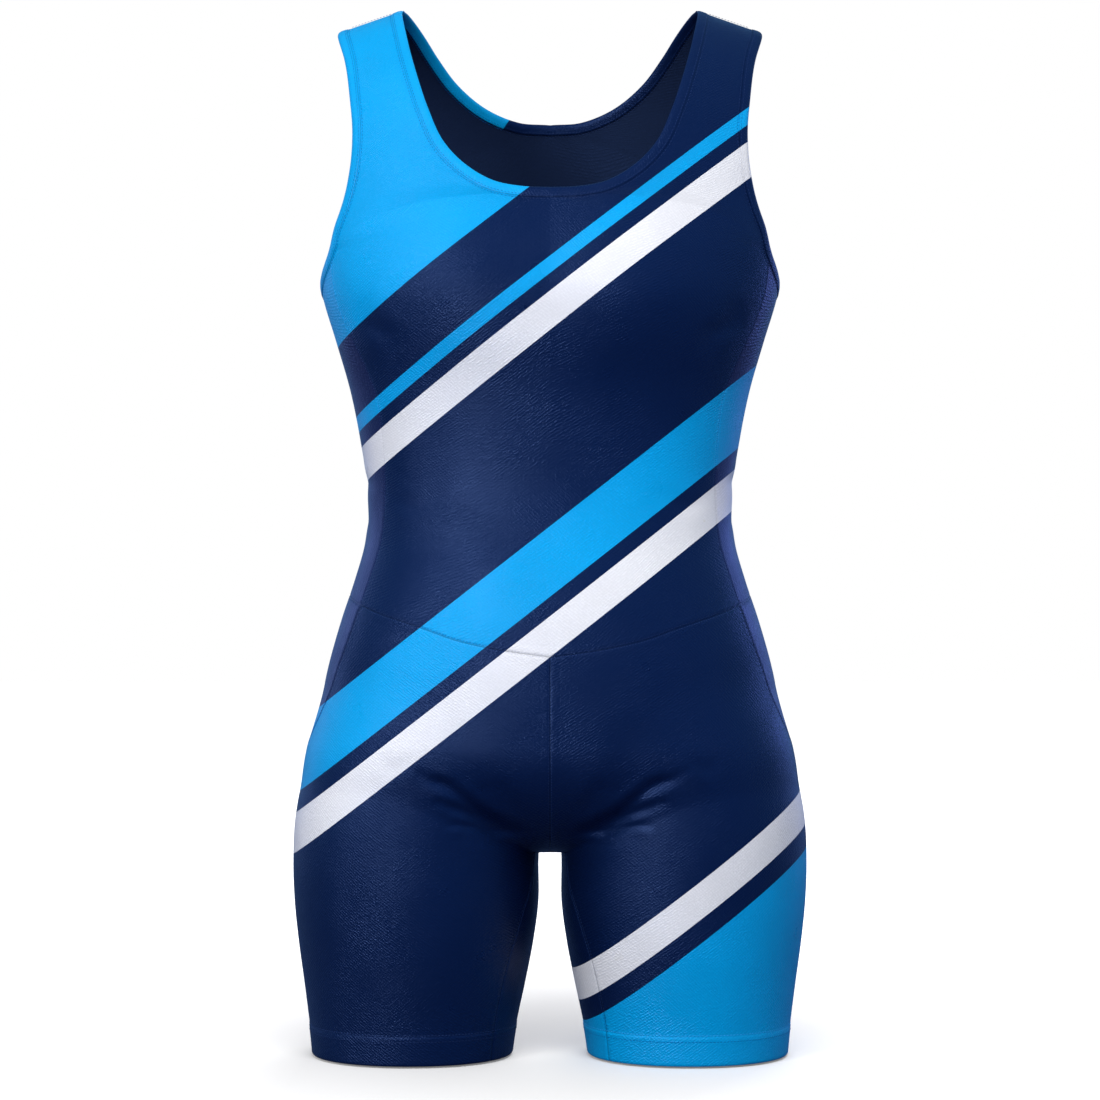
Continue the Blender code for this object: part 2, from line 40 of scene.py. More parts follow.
# The worn form: a torso of oval sections, closed over the shoulders and under the pelvis, and two legs
wornForm = {
    "strapTopX": 0.1095,
    "shoulderSlope": 0.344,
    "shoulderRadius": 0.120,
    "pelvisBottomZ": -0.6305,
    "pelvisRadius": 0.085,
    "pelvisSteepness": 10,  # of the value under the pelvis, so that no point hangs down
    "torsoPower": 2.35,  # 2 is an ellipse, more is squarer
    "legPower": 2.15,
    "groinBlend": 0.022,
    "torsoScale": 0.1,  # turn an oval's value into metres, about
    "legScale": 0.085,
    "legShiftZ": -0.49,  # below here, rays start ever nearer a leg's middle
    "legShiftHeight": 0.11,
    "bustX": 0.074,
    "bustZ": -0.222,
    "bustHalfWidth": 0.052,
    "bustHalfHeight": 0.052,
    "bustRise": 0.008,
    "bustSoftness": 0.012,  # rounds the valley between its two sides
}


def metres(*rows):
    # a table whose rows are in millimetres
    return np.array(rows) / 1000


# Height, half width, depth in front of the centre, depth behind it
torsoSections = metres(
    (40, 196, 66, 66), (0, 190, 70, 72), (-60, 183, 80, 82), (-141, 176, 94, 93),
    (-190, 174, 106, 99), (-215, 170, 109, 100), (-247, 160.5, 106, 99), (-285, 149.5, 98, 96),
    (-322, 142, 93, 91), (-367, 136, 92, 88), (-397, 138, 96, 91), (-427, 146.2, 104, 99),
    (-457, 156.2, 110, 107), (-517, 170.5, 114, 119), (-560, 171.5, 113, 123), (-640, 176, 106, 120),
)

# Height, centre from the middle, half width, depth in front, depth behind
legSections = metres(
    (-440, 80, 40, 50, 50), (-500, 88, 62, 80, 88), (-560, 96, 84.5, 98, 108),
    (-600, 98.5, 91.5, 99, 110), (-636, 100.3, 91.8, 97, 106), (-667, 99.8, 91.2, 94, 99),
    (-697, 100.2, 87.7, 90, 95), (-727, 101.1, 82.7, 85, 91), (-757, 102.4, 77.6, 80, 86),
    (-800, 103.5, 72.5, 75, 81),
)

# Troughs that both sides have: from x, z to x, z, half width, depth
pairedCreases = {
    "front": metres(
        (74, -588, 12, -618, 7.5, 2.6), (98, -566, 60, -577, 8, 1.2), (64, -606, 24, -619, 6, 1.6),
    ),
    "back": metres(
        (110, -640, 20, -628, 9, 2.4), (86, -657, 34, -650, 7, 1.2), (88, -392, 20, -400, 10, 1.4),
    ),
}

# Finer ones, each on its own, seen from that side: from across, z to across, z, half width, depth
softCreases = {
    "front": metres(
        (88, -569, 16, -613, 4.2, 3), (-92, -568, -17, -612, 4.4, 3.1), (104, -563, 66, -575, 3, 0.5),
        (-99, -566, -64, -575, 2.8, 0.5), (84, -585, 18, -614, 3.6, 2.3), (-82, -586, -12, -619, 3.8, 2.4),
        (76, -603, 24, -610, 3, 1.2), (-67, -605, -14, -620, 3.2, 1.4), (14, -596, 7, -622, 2.8, 0.8),
        (-13, -599, -8, -623, 2.6, 0.6), (-45, -574, -14, -596, 5, 0.7), (48, -571, 18, -592, 5.5, 0.6),
        (126, -556, 98, -563, 6, 0.5), (-131, -560, -104, -566, 5, 0.4), (139, -222, 112, -262, 7, 0.8),
        (-141, -218, -109, -258, 7.5, 0.8), (118, -372, 72, -366, 6, 0.5), (-112, -384, -60, -391, 7, 0.5),
    ),
    "back": metres(
        (104, -636, 38, -627, 3, 0.8), (-98, -639, -30, -628, 2.8, 0.8), (72, -667, 40, -662, 4.5, 0.6),
        (-80, -671, -44, -664, 5, 0.6), (96, -372, 12, -381, 6, 0.8), (-74, -361, 6, -368, 5.5, 0.7),
        (-101, -409, -34, -414, 6, 0.8), (62, -418, -12, -421, 5.5, 0.7), (140, -196, 108, -236, 6.5, 0.8),
        (-138, -202, -102, -247, 7, 0.8),
    ),
    "left": metres(
        (-38, -352, 24, -360, 5.5, 0.6), (-20, -384, 44, -379, 6, 0.6),
    ),
    "right": metres(
        (-30, -358, 36, -349, 6, 0.6), (-42, -391, 10, -386, 5, 0.5),
    ),
}

# Edges of the garment, seen from the front or from behind: x, z
neckFront = metres(
    (0, -142), (20, -141.2), (40, -137.2), (59, -126.5), (77, -108), (89, -82),
    (97, -58), (103, -37), (107.5, -18),
)
neckBack = metres(
    (0, -75), (24, -73.2), (48, -64), (71, -46.4), (85, -29), (96, -13),
)
armholeFront = metres(
    (152.6, -41.2), (147.6, -73.8), (145.5, -97.1), (146.5, -120), (149.5, -138), (154, -154), (159, -167.5),
)
armholeBack = metres(
    (152.6, -41.2), (147.8, -73.8), (146, -98), (146.8, -122), (149.5, -144), (154.5, -164),
)
# The same edge under the arm, seen from the side: y, z
underarm = metres(
    (-47, -183), (-26, -200.5), (0, -208), (27, -201), (48, -183),
)
# Side panel, seen from the side: height, y of its front seam, y of its back seam
sideSeams = metres(
    (-180, -48, 52), (-225, -50, 52), (-262, -56, 54), (-290, -58, 55), (-320, -55, 53),
    (-367, -50, 50), (-415, -52, 55), (-450, -53, 62), (-490, -48, 72), (-515, -40, 78),
    (-535, -26, 81), (-552, -6, 83), (-580, 16, 85), (-620, 28, 84), (-680, 32, 78),
    (-790, 28, 66),
)
# Degrees round from the front, height
waistSeam = (
    (0, -0.481), (20, -0.4752), (32, -0.4696), (46, -0.4592), (60, -0.4502),
    (69, -0.4447), (90, -0.4372), (120, -0.438), (150, -0.443), (180, -0.445),
)
# Inner-leg panel: height, y of its front seam, y of its back seam
gussetSeams = metres(
    (-628, -30, 32), (-636, -31, 34), (-648, -35, 39), (-667, -47, 50), (-685, -52.5, 56),
    (-703, -55.5, 59), (-720, -55.5, 59), (-742, -54, 57.5), (-763, -51.5, 55), (-790, -49, 52.5),
)
cut = {
    "neckRidgeX": 0.1095,
    "armholeRidgeX": 0.1575,
    "hemZ": -0.780,
    "crotchZ": -0.628,
    "chestCentre": (0.0, 0.0, -0.230),  # rays to the shoulders start here
    "neckCentre": (0.0, 0.0, -0.030),
    "armholeCentre": (0.160, 0.0, -0.110),
    "gussetRay": 0.060,  # how far inside the form its rays start
    "gussetTurn": 0.012,  # way from the crotch over which they turn from plumb to level
    "innerLegDrop": 0.0015,  # the inner-leg seams start this far under the crotch
    "crotchCentre": (0.03, 0.0, -0.6),  # rays to the seams' turn there start here
    "crotchEase": 0.02,  # way over which the rows even out after that turn
}


def hermite(table, column):
    # a smooth function through one column of a table, against its first column
    rows = np.array([(row[0], row[column]) for row in table], float)
    rows = rows[np.argsort(rows[:, 0])]
    at, value = rows.T
    slope = np.gradient(value, at)

    def read(where):
        where = np.clip(where, at[0], at[-1])
        low = np.clip(np.searchsorted(at, where) - 1, 0, len(at) - 2)
        step = at[low + 1] - at[low]
        t = (where - at[low]) / step
        return (
            (2 * t**3 - 3 * t**2 + 1) * value[low]
            + (t**3 - 2 * t**2 + t) * step * slope[low]
            + (3 * t**2 - 2 * t**3) * value[low + 1]
            + (t**3 - t**2) * step * slope[low + 1]
        )

    return read


torsoWidth, torsoFront, torsoBack = (hermite(torsoSections, column) for column in (1, 2, 3))
legCentre, legWidth, legFrontDepth, legBackDepth = (hermite(legSections, column) for column in (1, 2, 3, 4))
sideFrontY, sideBackY = (hermite(sideSeams, column) for column in (1, 2))
gussetFrontY, gussetBackY = (hermite(gussetSeams, column) for column in (1, 2))
waistZ = hermite(waistSeam, 1)


def smoothStep(t):
    t = np.clip(t, 0, 1)
    return t * t * (3 - 2 * t)


def rounding(t):
    return np.sqrt(np.clip(1 - (1 - np.clip(t, 1e-6, 1)) ** 2, 1e-9, 1))


def lengthsAlong(points):
    steps = np.linalg.norm(np.diff(points, axis=0), axis=1)
    return np.concatenate([[0], np.cumsum(steps)])


def splineThrough(points, count):
    points = np.array(points, float)
    along = lengthsAlong(points)
    columns = [hermite(np.column_stack([along, points[:, axis]]), 1) for axis in range(3)]
    at = np.linspace(0, along[-1], count)
    return np.column_stack([column(at) for column in columns])


def pointsAt(curve, shares):
    along = lengthsAlong(curve)
    at = np.asarray(shares) * along[-1]
    return np.column_stack([np.interp(at, along, curve[:, axis]) for axis in range(3)])


def evenPoints(curve, cells):
    return pointsAt(curve, np.linspace(0, 1, cells + 1))


def oval(x, y, halfWidth, front, back, power):
    depth = np.where(y < 0, front, back)
    reach = (np.abs(x) / halfWidth) ** power + (np.abs(y) / depth) ** power
    return reach ** (1 / power) - 1


def ridgeHeight(x):
    return (wornForm["strapTopX"] - np.abs(x)) * wornForm["shoulderSlope"]


def torsoValue(x, y, z):
    w = wornForm
    over = rounding((ridgeHeight(x) - z) / w["shoulderRadius"])
    under = rounding((z - w["pelvisBottomZ"]) / w["pelvisRadius"])
    across = (np.hypot(x, w["bustSoftness"]) - w["bustX"]) / w["bustHalfWidth"]
    bust = w["bustRise"] * np.exp(-(across**2) - ((z - w["bustZ"]) / w["bustHalfHeight"]) ** 2)
    front = (torsoFront(z) + bust) * over * under
    back = torsoBack(z) * over * under
    pastEnd = np.maximum(z - ridgeHeight(x), w["pelvisSteepness"] * (w["pelvisBottomZ"] - z))
    around = oval(x, y, torsoWidth(z) * under, front, back, w["torsoPower"])
    return np.maximum(around * w["torsoScale"], pastEnd)


def legValue(x, y, z):
    middle, power = np.abs(x) - legCentre(z), wornForm["legPower"]
    around = oval(middle, y, legWidth(z), legFrontDepth(z), legBackDepth(z), power)
    return np.maximum(around * wornForm["legScale"], z - legSections[0][0])


creaseShape = {
    "taper": 0.7,  # less keeps the depth nearer the ends
    "wander": (0.5, 7, 40),  # how far a fine one strays in half widths, how often, and where it starts
    "ridge": 0.3,  # height of a fine one's ridges against its depth
    "ridgeAway": 1.9,  # in half widths
    "reach": 0.06,  # no fine one is taller than twice this
}


def trough(across, z, row, ridge):
    # one crease: a soft trough, with a low ridge of cloth pushed up beside it
    a0, z0, a1, z1, halfWidth, deep = row
    run = np.array([a1 - a0, z1 - z0])
    t = ((across - a0) * run[0] + (z - z0) * run[1]) / (run @ run)
    away = ((across - a0) * run[1] - (z - z0) * run[0]) / np.linalg.norm(run) / halfWidth
    along = np.sin(np.pi * np.clip(t, 0, 1)) ** creaseShape["taper"]
    stray, often, start = creaseShape["wander"]
    away = away + stray * np.sin(often * t + start * a0) * (ridge > 0)
    beside = np.abs(away) - creaseShape["ridgeAway"]
    return deep * along * (np.exp(-(away**2)) - ridge * np.exp(-(beside**2)))


def creaseDepth(x, y, z):
    depth = np.zeros_like(x)
    views = {"front": (x, y < 0), "back": (x, y > 0), "left": (y, x > 0), "right": (y, x < 0)}
    for side, rows in pairedCreases.items():
        for row in rows:
            depth = depth + np.where(views[side][1], trough(np.abs(x), z, row, 0), 0)
    for side, rows in softCreases.items():
        across, here = views[side]
        for row in rows:
            near = here & (np.abs(z - (row[1] + row[3]) / 2) < creaseShape["reach"])
            if np.any(near):
                depth = depth + np.where(near, trough(across, z, row, creaseShape["ridge"]), 0)
    return depth


def formValue(points):
    # below zero inside the form, above zero outside it
    x, y, z = np.moveaxis(np.asarray(points, float), -1, 0)
    body, thigh = torsoValue(x, y, z), legValue(x, y, z)
    blend = wornForm["groinBlend"]
    mix = np.maximum(blend - np.abs(body - thigh), 0) / blend
    return np.minimum(body, thigh) - mix**2 * blend / 4 + creaseDepth(x, y, z)


# How the form is searched: rays' reach and stride, times that a stride is halved, and a normal's step
search = {"reach": 0.32, "stride": 0.005, "halvings": 20, "step": 2e-4}


def formNormals(points):
    steps = np.eye(3) * search["step"]
    grown = [formValue(points + step) - formValue(points - step) for step in steps]
    grown = np.stack(grown, axis=-1)
    return grown / np.linalg.norm(grown, axis=-1, keepdims=True)


def cast(origins, directions):
    # where rays from inside the form first leave it
    origins, directions = np.broadcast_arrays(np.asarray(origins, float), np.asarray(directions, float))
    directions = directions / np.linalg.norm(directions, axis=-1, keepdims=True)
    high = np.full(origins.shape[:-1], search["reach"])
    for distance in np.arange(search["reach"], 0, -search["stride"]):
        outside = formValue(origins + distance * directions) > 0
        high = np.where(outside, distance, high)
    low = np.maximum(high - search["stride"], 0)
    for _ in range(search["halvings"]):
        middle = (low + high) / 2
        inside = formValue(origins + middle[..., None] * directions) < 0
        low, high = np.where(inside, middle, low), np.where(inside, high, middle)
    return origins + low[..., None] * directions


def castTowards(origins, points):
    return cast(origins, np.asarray(points, float) - origins)


def onFace(x, z, way):
    x, z = np.broadcast_arrays(np.asarray(x, float), np.asarray(z, float))
    return cast(np.stack([x, np.zeros_like(x), z], axis=-1), (0, way, 0))


def onSide(y, z):
    y, z = np.broadcast_arrays(np.asarray(y, float), np.asarray(z, float))
    return cast(np.stack([legShift(z), y, z], axis=-1), (1, 0, 0))


def onInnerLeg(y, z):
    return cast(np.stack([legCentre(z), y, z], axis=-1), (-1, 0, 0))


def legShift(z):
    return legCentre(z) * smoothStep((wornForm["legShiftZ"] - z) / wornForm["legShiftHeight"])


def bearing(points):
    points = np.asarray(points, float)
    return np.degrees(np.arctan2(points[..., 0] - legShift(points[..., 2]), -points[..., 1]))


def atBearing(angle, z):
    angle, z = np.broadcast_arrays(np.radians(angle), np.asarray(z, float))
    start = np.stack([legShift(z), np.zeros_like(z), z], axis=-1)
    return cast(start, np.stack([np.sin(angle), -np.cos(angle), np.zeros_like(angle)], axis=-1))


def ridgePoint(x):
    return np.array([x, 0.0, ridgeHeight(x)])


def settle(curve):
    return castTowards(np.broadcast_to(np.array(cut["chestCentre"]), curve.shape), curve)


def edgeCurve(rows, way, endX):
    points = [onFace(x, z, way) for x, z in rows] + [ridgePoint(endX)]
    return settle(splineThrough(points, samples["spline"]))


def inward(curve, holeCentre):
    # directions on the form, square to the edge, that point into the cloth
    across = np.cross(np.gradient(curve, axis=0), formNormals(curve))
    outwards = np.sum(across * (curve - np.array(holeCentre)), axis=1, keepdims=True)
    return across * np.where(outwards < 0, -1, 1) / np.linalg.norm(across, axis=1, keepdims=True)


def movedIn(curve, directions, distance):
    return settle(curve + directions * distance)


# Cells of the fine grids
cells = {
    "bodiceRows": 104,  # waist seam to the armhole's lower end
    "frontStrapRows": 76,
    "backStrapRows": 72,
    "halfBodice": 46,
    "side": 38,
    "seatRows": 96,  # waist seam to crotch
    "thighRows": 62,  # crotch to hem
    "legFront": 88,
    "legBack": 62,
    "gusset": 36,
}
seamCrowd = (0.0, 0.0005, 0.0012, 0.0022, 0.0036)  # grid lines this near a seam round its groove
bodiceSeamLength = 0.27  # about, to space the rows near the waist seam
samples = {"spline": 240, "armhole": 1200, "boundary": 400, "crotchTurn": 24}


def crowdedShares(widths, count, first=True, last=True):
    # shares of the way across rows of these widths, crowded at a seam
    widths = np.atleast_1d(widths)[:, None]
    crowd = np.array(seamCrowd)[None, :] / widths
    start = crowd if first else np.zeros_like(widths)
    end = 1 - crowd[:, ::-1] if last else np.ones_like(widths)
    between = count + 1 - start.shape[1] - end.shape[1]
    t = np.linspace(0, 1, between + 2)[None, 1:-1]
    middle = start[:, -1:] * (1 - t) + end[:, :1] * t
    return np.concatenate([start, middle, end], axis=1)


def rowWidths(first, last):
    return np.maximum(np.linalg.norm(first - last, axis=1) * 1.1, 0.018)


def neckEdges():
    front = evenPoints(edgeCurve(neckFront, -1, cut["neckRidgeX"]), cells["frontStrapRows"])
    back = evenPoints(edgeCurve(neckBack, 1, cut["neckRidgeX"]), cells["backStrapRows"])
    loop = np.concatenate([front, back[::-1][1:]])
    directions = inward(loop, cut["neckCentre"])
    directions[[0, -1], 0] = 0
    return loop, directions


def armholeEdges():
    ridge = ridgePoint(cut["armholeRidgeX"])
    front = [onFace(x, z, -1) for x, z in armholeFront]
    under = [onSide(y, z) for y, z in underarm]
    back = [onFace(x, z, 1) for x, z in armholeBack[::-1]]
    whole = settle(splineThrough([ridge, *front, *under, *back, ridge], samples["armhole"]))
    first, last = (np.argmin(np.linalg.norm(whole - under[end], axis=1)) for end in (0, -1))
    parts = (
        evenPoints(whole[: first + 1], cells["frontStrapRows"]),
        evenPoints(whole[first : last + 1], cells["side"]),
        evenPoints(whole[last:], cells["backStrapRows"]),
    )
    loop = np.concatenate([parts[0], parts[1][1:], parts[2][1:-1]])
    ring = np.concatenate([loop[-1:], loop, loop[:1]])
    return loop, inward(ring, cut["armholeCentre"])[1:-1]


def seamShares():
    return crowdedShares(bodiceSeamLength, cells["bodiceRows"], last=False)[0]


def levelRows(first, last, top, shares):
    bearings = bearing(first)[:, None] * (1 - shares) + bearing(last)[:, None] * shares
    up = seamShares()[:, None]
    heights = waistZ(bearings[0])[None, :] * (1 - up) + top[None, :] * up
    grid = atBearing(bearings, heights)
    grid[:, 0], grid[:, -1] = first, last
    return grid


def sideSeam(end, tableY, bottomZ):
    share = seamShares()
    z = bottomZ + (end[2] - bottomZ) * share
    y = tableY(z) + share**3 * (end[1] - tableY(end[2]))
    points = onSide(y, z)
    points[-1] = end
    return points


def waistHeight(tableY):
    # where a side seam crosses the waist seam, found by going to and fro between them
    z = waistSeam[-1][1]
    for _ in range(12):
        z = float(waistZ(bearing(onSide(tableY(z), z))))
    return z


def bodiceHalf(neck, armhole, seam, way):
    share = seamShares()
    baseZ = float(waistZ(0.0 if way < 0 else 180.0))
    middle = onFace(0.0, baseZ + (neck[0, 2] - baseZ) * share, way)
    middle[-1] = neck[0]
    across = crowdedShares(rowWidths(middle, seam), cells["halfBodice"], first=False)
    top = neck[0, 2] * (1 - across[-1]) + armhole[0, 2] * across[-1]
    lower = levelRows(middle, seam, top, across)
    lower[:, 0, 0] = 0
    drift = smoothStep(np.linspace(0, 1, len(neck) - 1) * 3)[:, None]
    even = np.linspace(0, 1, cells["halfBodice"] + 1)[None, :]
    mix = (across[-1:] * (1 - drift) + even * drift)[..., None]
    chords = neck[1:, None] * (1 - mix) + armhole[1:, None] * mix
    upper = castTowards(np.broadcast_to(np.array(cut["chestCentre"]), chords.shape), chords)
    upper[:, 0], upper[:, -1] = neck[1:], armhole[1:]
    return np.concatenate([lower, upper])


hem = {
    "depth": 0.022,  # turned-up cloth
    "rise": 0.0005,  # how far the doubled cloth stands out
    "step": 0.0015,  # height over which it does
    "roll": 0.0007,  # the fold at the bottom turns in by this
    "rollHeight": 0.0016,
    # heights of its rows of cells: round the step, then down to the fold
    "stepRows": (0.0232, 0.0226, 0.0222, 0.0218, 0.0214, 0.0209, 0.0203, 0.019),
    "foldRows": (0.016, 0.013, 0.01, 0.007, 0.0045, 0.0025, 0.0013, 0.0005, 0.0),
    "start": 0.024,  # where the thigh's rows end
}


def lowerShares():
    # shares of the way from waist seam to hem; the crotch is a row, and the hem's step and fold have close rows
    middle = float(waistZ(0.0))
    whole = middle - cut["hemZ"]
    crotch = (middle - cut["crotchZ"]) / whole
    seat = crotch * crowdedShares(middle - cut["crotchZ"], cells["seatRows"], last=False)[0]
    hemStart = 1 - hem["start"] / whole
    thigh = crotch + (hemStart - crotch) * np.linspace(0, 1, cells["thighRows"]) ** 1.1
    return np.concatenate([seat, thigh[1:], 1 - np.array(hem["stepRows"] + hem["foldRows"]) / whole])


def innerBoundary(way):
    # down the centre to the crotch, across to the inner leg, and down it
    share = lowerShares()
    start = float(waistZ(0.0 if way < 0 else 180.0))
    crotchShare = share[cells["seatRows"]]
    quarter = np.linspace(0, np.pi / 2, samples["boundary"])
    seat = onFace(0.0, start + (cut["crotchZ"] - start) * np.sin(quarter), way)
    z = np.linspace(cut["crotchZ"] - cut["innerLegDrop"], cut["hemZ"], samples["boundary"])
    leg = onInnerLeg((gussetFrontY if way < 0 else gussetBackY)(z), z)
    turn = seat[-1] + (leg[0] - seat[-1]) * np.linspace(0, 1, samples["crotchTurn"])[1:-1, None]
    turn = castTowards(np.array(cut["crotchCentre"]) + turn * (0, 1, 0), turn)
    leg = np.concatenate([seat[-1:], turn, leg])
    drop = (share[cells["seatRows"] :] - crotchShare) / (1 - crotchShare) * (cut["crotchZ"] - cut["hemZ"])
    extra = lengthsAlong(leg)[-1] - drop[-1]
    down = drop + extra * (1 - np.exp(-drop / cut["crotchEase"]))
    seat = pointsAt(seat, share[: cells["seatRows"]] / crotchShare)
    return np.concatenate([seat, pointsAt(leg, down / down[-1])])


def outerBoundary(tableY, start):
    z = start + (cut["hemZ"] - start) * lowerShares()
    return onSide(tableY(z), z)


def lowerPanel(first, last, columns, behind=False):
    ends = [bearing(points)[:, None] for points in (first, last)]
    if behind:
        ends = [np.where(angle < 0, angle + 360, angle) for angle in ends]
    mix = crowdedShares(rowWidths(first, last), columns)
    bearings = ends[0] * (1 - mix) + ends[1] * mix
    share = lowerShares()
    heights = first[:, 2:3] * (1 - mix) + last[:, 2:3] * mix
    seamDip = waistZ(bearings[0]) - heights[0]
    grid = atBearing(bearings, heights + seamDip[None, :] * (1 - share[:, None]) ** 2)
    grid[:, 0], grid[:, -1] = first, last
    return grid


def gussetHalf(front, back):
    mix = crowdedShares(rowWidths(front, back), cells["gusset"])[..., None]
    chords = front[:, None] * (1 - mix) + back[:, None] * mix
    tilt = np.pi / 2 * np.exp(-((lengthsAlong(front) / cut["gussetTurn"]) ** 2))[:, None]
    way = np.stack([np.cos(tilt), 0 * tilt, np.sin(tilt)], axis=-1)
    grid = cast(chords + cut["gussetRay"] * way, -way)
    grid[:, 0], grid[:, -1] = front, back
    grid[0, :, 0] = 0
    return grid


# Materials

printColours = {"navy": (0.0016, 0.0078, 0.04), "sky": (0.0, 0.355, 0.77), "white": (0.84, 0.84, 0.87)}
# Sewing thread takes these on the print's colours: plain, and a paler one, a painted highlight on real stitches
# along a seam's lit edge
threadColours = {
    "thread": {"Ground": (0.016, 0.036, 0.125), "Sky": (0.0, 0.105, 0.37), "White": (0.66, 0.67, 0.72)},
    "paleHighlightThread": {"Ground": (0.026, 0.055, 0.175), "Sky": (0.055, 0.49, 0.96), "White": (0.74, 0.75, 0.8)},
}
bandAngle = 38.0
# Straight bands at that angle: colour, the side of the body that it keeps to, and the two distances from the
# origin that it lies between, measured up and to the wearer's right
bands = (
    ("sky", "right", -0.1027, 1.0),  # shoulder block
    ("sky", None, -0.162, -0.152),
    ("white", None, -0.194, -0.172),
    ("sky", None, -0.345, -0.305),  # waist
    ("white", None, -0.379, -0.356),
    ("white", "left", -0.596, -0.574),
    ("sky", "left", -2.0, -0.61),  # thigh block
)
backBlock = {"angle": 55.2, "low": -0.0149}  # the shoulder block's edge on the back, which meets the neck


def newGroup(name, inputs, outputs):
    group = bpy.data.node_groups.new(name, "ShaderNodeTree")
    for way, sockets in (("INPUT", inputs), ("OUTPUT", outputs)):
        for label, kind in sockets.items():
            group.interface.new_socket(name=label, in_out=way, socket_type="NodeSocket" + kind)
    return group, group.nodes.new("NodeGroupInput").outputs, group.nodes.new("NodeGroupOutput").inputs


def feed(tree, sockets, values):
    # link each output to its socket, or set the number, vector or colour that the socket holds
    for key, value in values.items():
        if isinstance(value, bpy.types.NodeSocket):
            tree.links.new(value, sockets[key])
        else:
            sockets[key].default_value = (*value, 1) if sockets[key].type == "RGBA" else value


def addNode(tree, kind, inputs, **settings):
    node = tree.nodes.new("ShaderNode" + kind)
    for key, value in settings.items():
        setattr(node, key, value)
    feed(tree, node.inputs, inputs)
    return node.outputs


def calculate(tree, operation, *values):
    return addNode(tree, "Math", dict(enumerate(values)), operation=operation)[0]


def mixColour(tree, share, first, second, blend="MIX"):
    return addNode(tree, "Mix", {0: share, 6: first, 7: second}, data_type="RGBA", blend_type=blend)[2]


def rangeOf(tree, value, low, high, newLow, newHigh, curve="LINEAR"):
    numbers = dict(enumerate((value, low, high, newLow, newHigh)))
    return addNode(tree, "MapRange", numbers, interpolation_type=curve)[0]


def noise(tree, place, scale, detail, roughness):
    inputs = {"Vector": place, "Scale": scale, "Detail": detail, "Roughness": roughness}
    return addNode(tree, "TexNoise", inputs)[0]


def wave(tree, place, direction, pitch, distortion, detailScale=1.0):
    inputs = {"Scale": 2 * np.pi / (20 * pitch), "Distortion": distortion, "Detail Scale": detailScale}
    return addNode(tree, "TexWave", inputs | {"Vector": place}, bands_direction=direction)["Fac"]


def makePrint():
    # which of the print's colours a place has, from its object coordinates
    inputs = {"Place": "Vector", "Ground": "Color", "Sky": "Color", "White": "Color"}
    group, given, results = newGroup("printBands", inputs, {"Color": "Color"})

    def greater(first, second):
        return calculate(group, "GREATER_THAN", first, second)

    def distance(angle):
        turn = np.radians(angle)
        inputs = {0: given["Place"], 1: (-np.sin(turn), 0, np.cos(turn))}
        return addNode(group, "VectorMath", inputs, operation="DOT_PRODUCT")["Value"]

    across = distance(bandAngle)
    x, y, _ = addNode(group, "SeparateXYZ", {0: given["Place"]})
    sides = {"right": calculate(group, "LESS_THAN", x, 0.0), "left": greater(x, 0.0)}
    masks = {"sky": 0.0, "white": 0.0}
    for band in bands:
        colour, side, low, high = band
        mask = calculate(group, "MULTIPLY", greater(across, low), calculate(group, "LESS_THAN", across, high))
        if band is bands[0]:
            behind = greater(distance(backBlock["angle"]), backBlock["low"])
            mask = addNode(group, "Mix", {0: greater(y, 0.0), 2: mask, 3: behind})[0]
        if side:
            mask = calculate(group, "MULTIPLY", mask, sides[side])
        masks[colour] = calculate(group, "MAXIMUM", masks[colour], mask)
    colour = mixColour(group, masks["sky"], given["Ground"], given["Sky"])
    feed(group, results, {"Color": mixColour(group, masks["white"], colour, given["White"])})
    return group


knit = {
    # fine ribs that catch the light, two ways across each other: degrees, strength
    "ribs": ((-33.0, 0.6), (41.0, 0.34)),
    "ribShift": (0.13, 0.07, 0.0),  # from one way's pattern to the other's
    "ribPitch": 0.0019,
    "ribWander": (3.0, 2.6),  # the wave's distortion and its detail
    "dashLength": 0.55,  # less is longer
    "walePitch": 0.00085,
    "coursePitch": 0.00065,
    "loopWander": 0.6,
    "loopHeight": 0.2,
    "puckerWidth": 0.007,  # beside a seam
    "puckerHeight": 1.1,
    "ribTone": 0.26,
    # painted shade in a seam's groove: the colour darkens to half at the seam and is back to full 0.9 mm from
    # it
    "seamShade": (0.0, 0.0009, 0.5, 1),
    "bumpDistance": 0.0008,
    # noise: scale, detail, roughness, and what it is spread from and to
    "dashes": ((680, 2, 0.6), (0.38, 0.6, 0, 1)),
    "patches": ((17, 1, 0.5), (0.36, 0.6, 0.25, 1)),
    "puckers": ((210, 1, 0.4), (0, 1, 0, 1)),
    "clouds": ((9, 3, 0.6), (0.3, 0.7, 0.93, 1.07)),
    "gloss": ((34, 2, 0.5), (0.3, 0.7, -0.05, 0.05)),
}


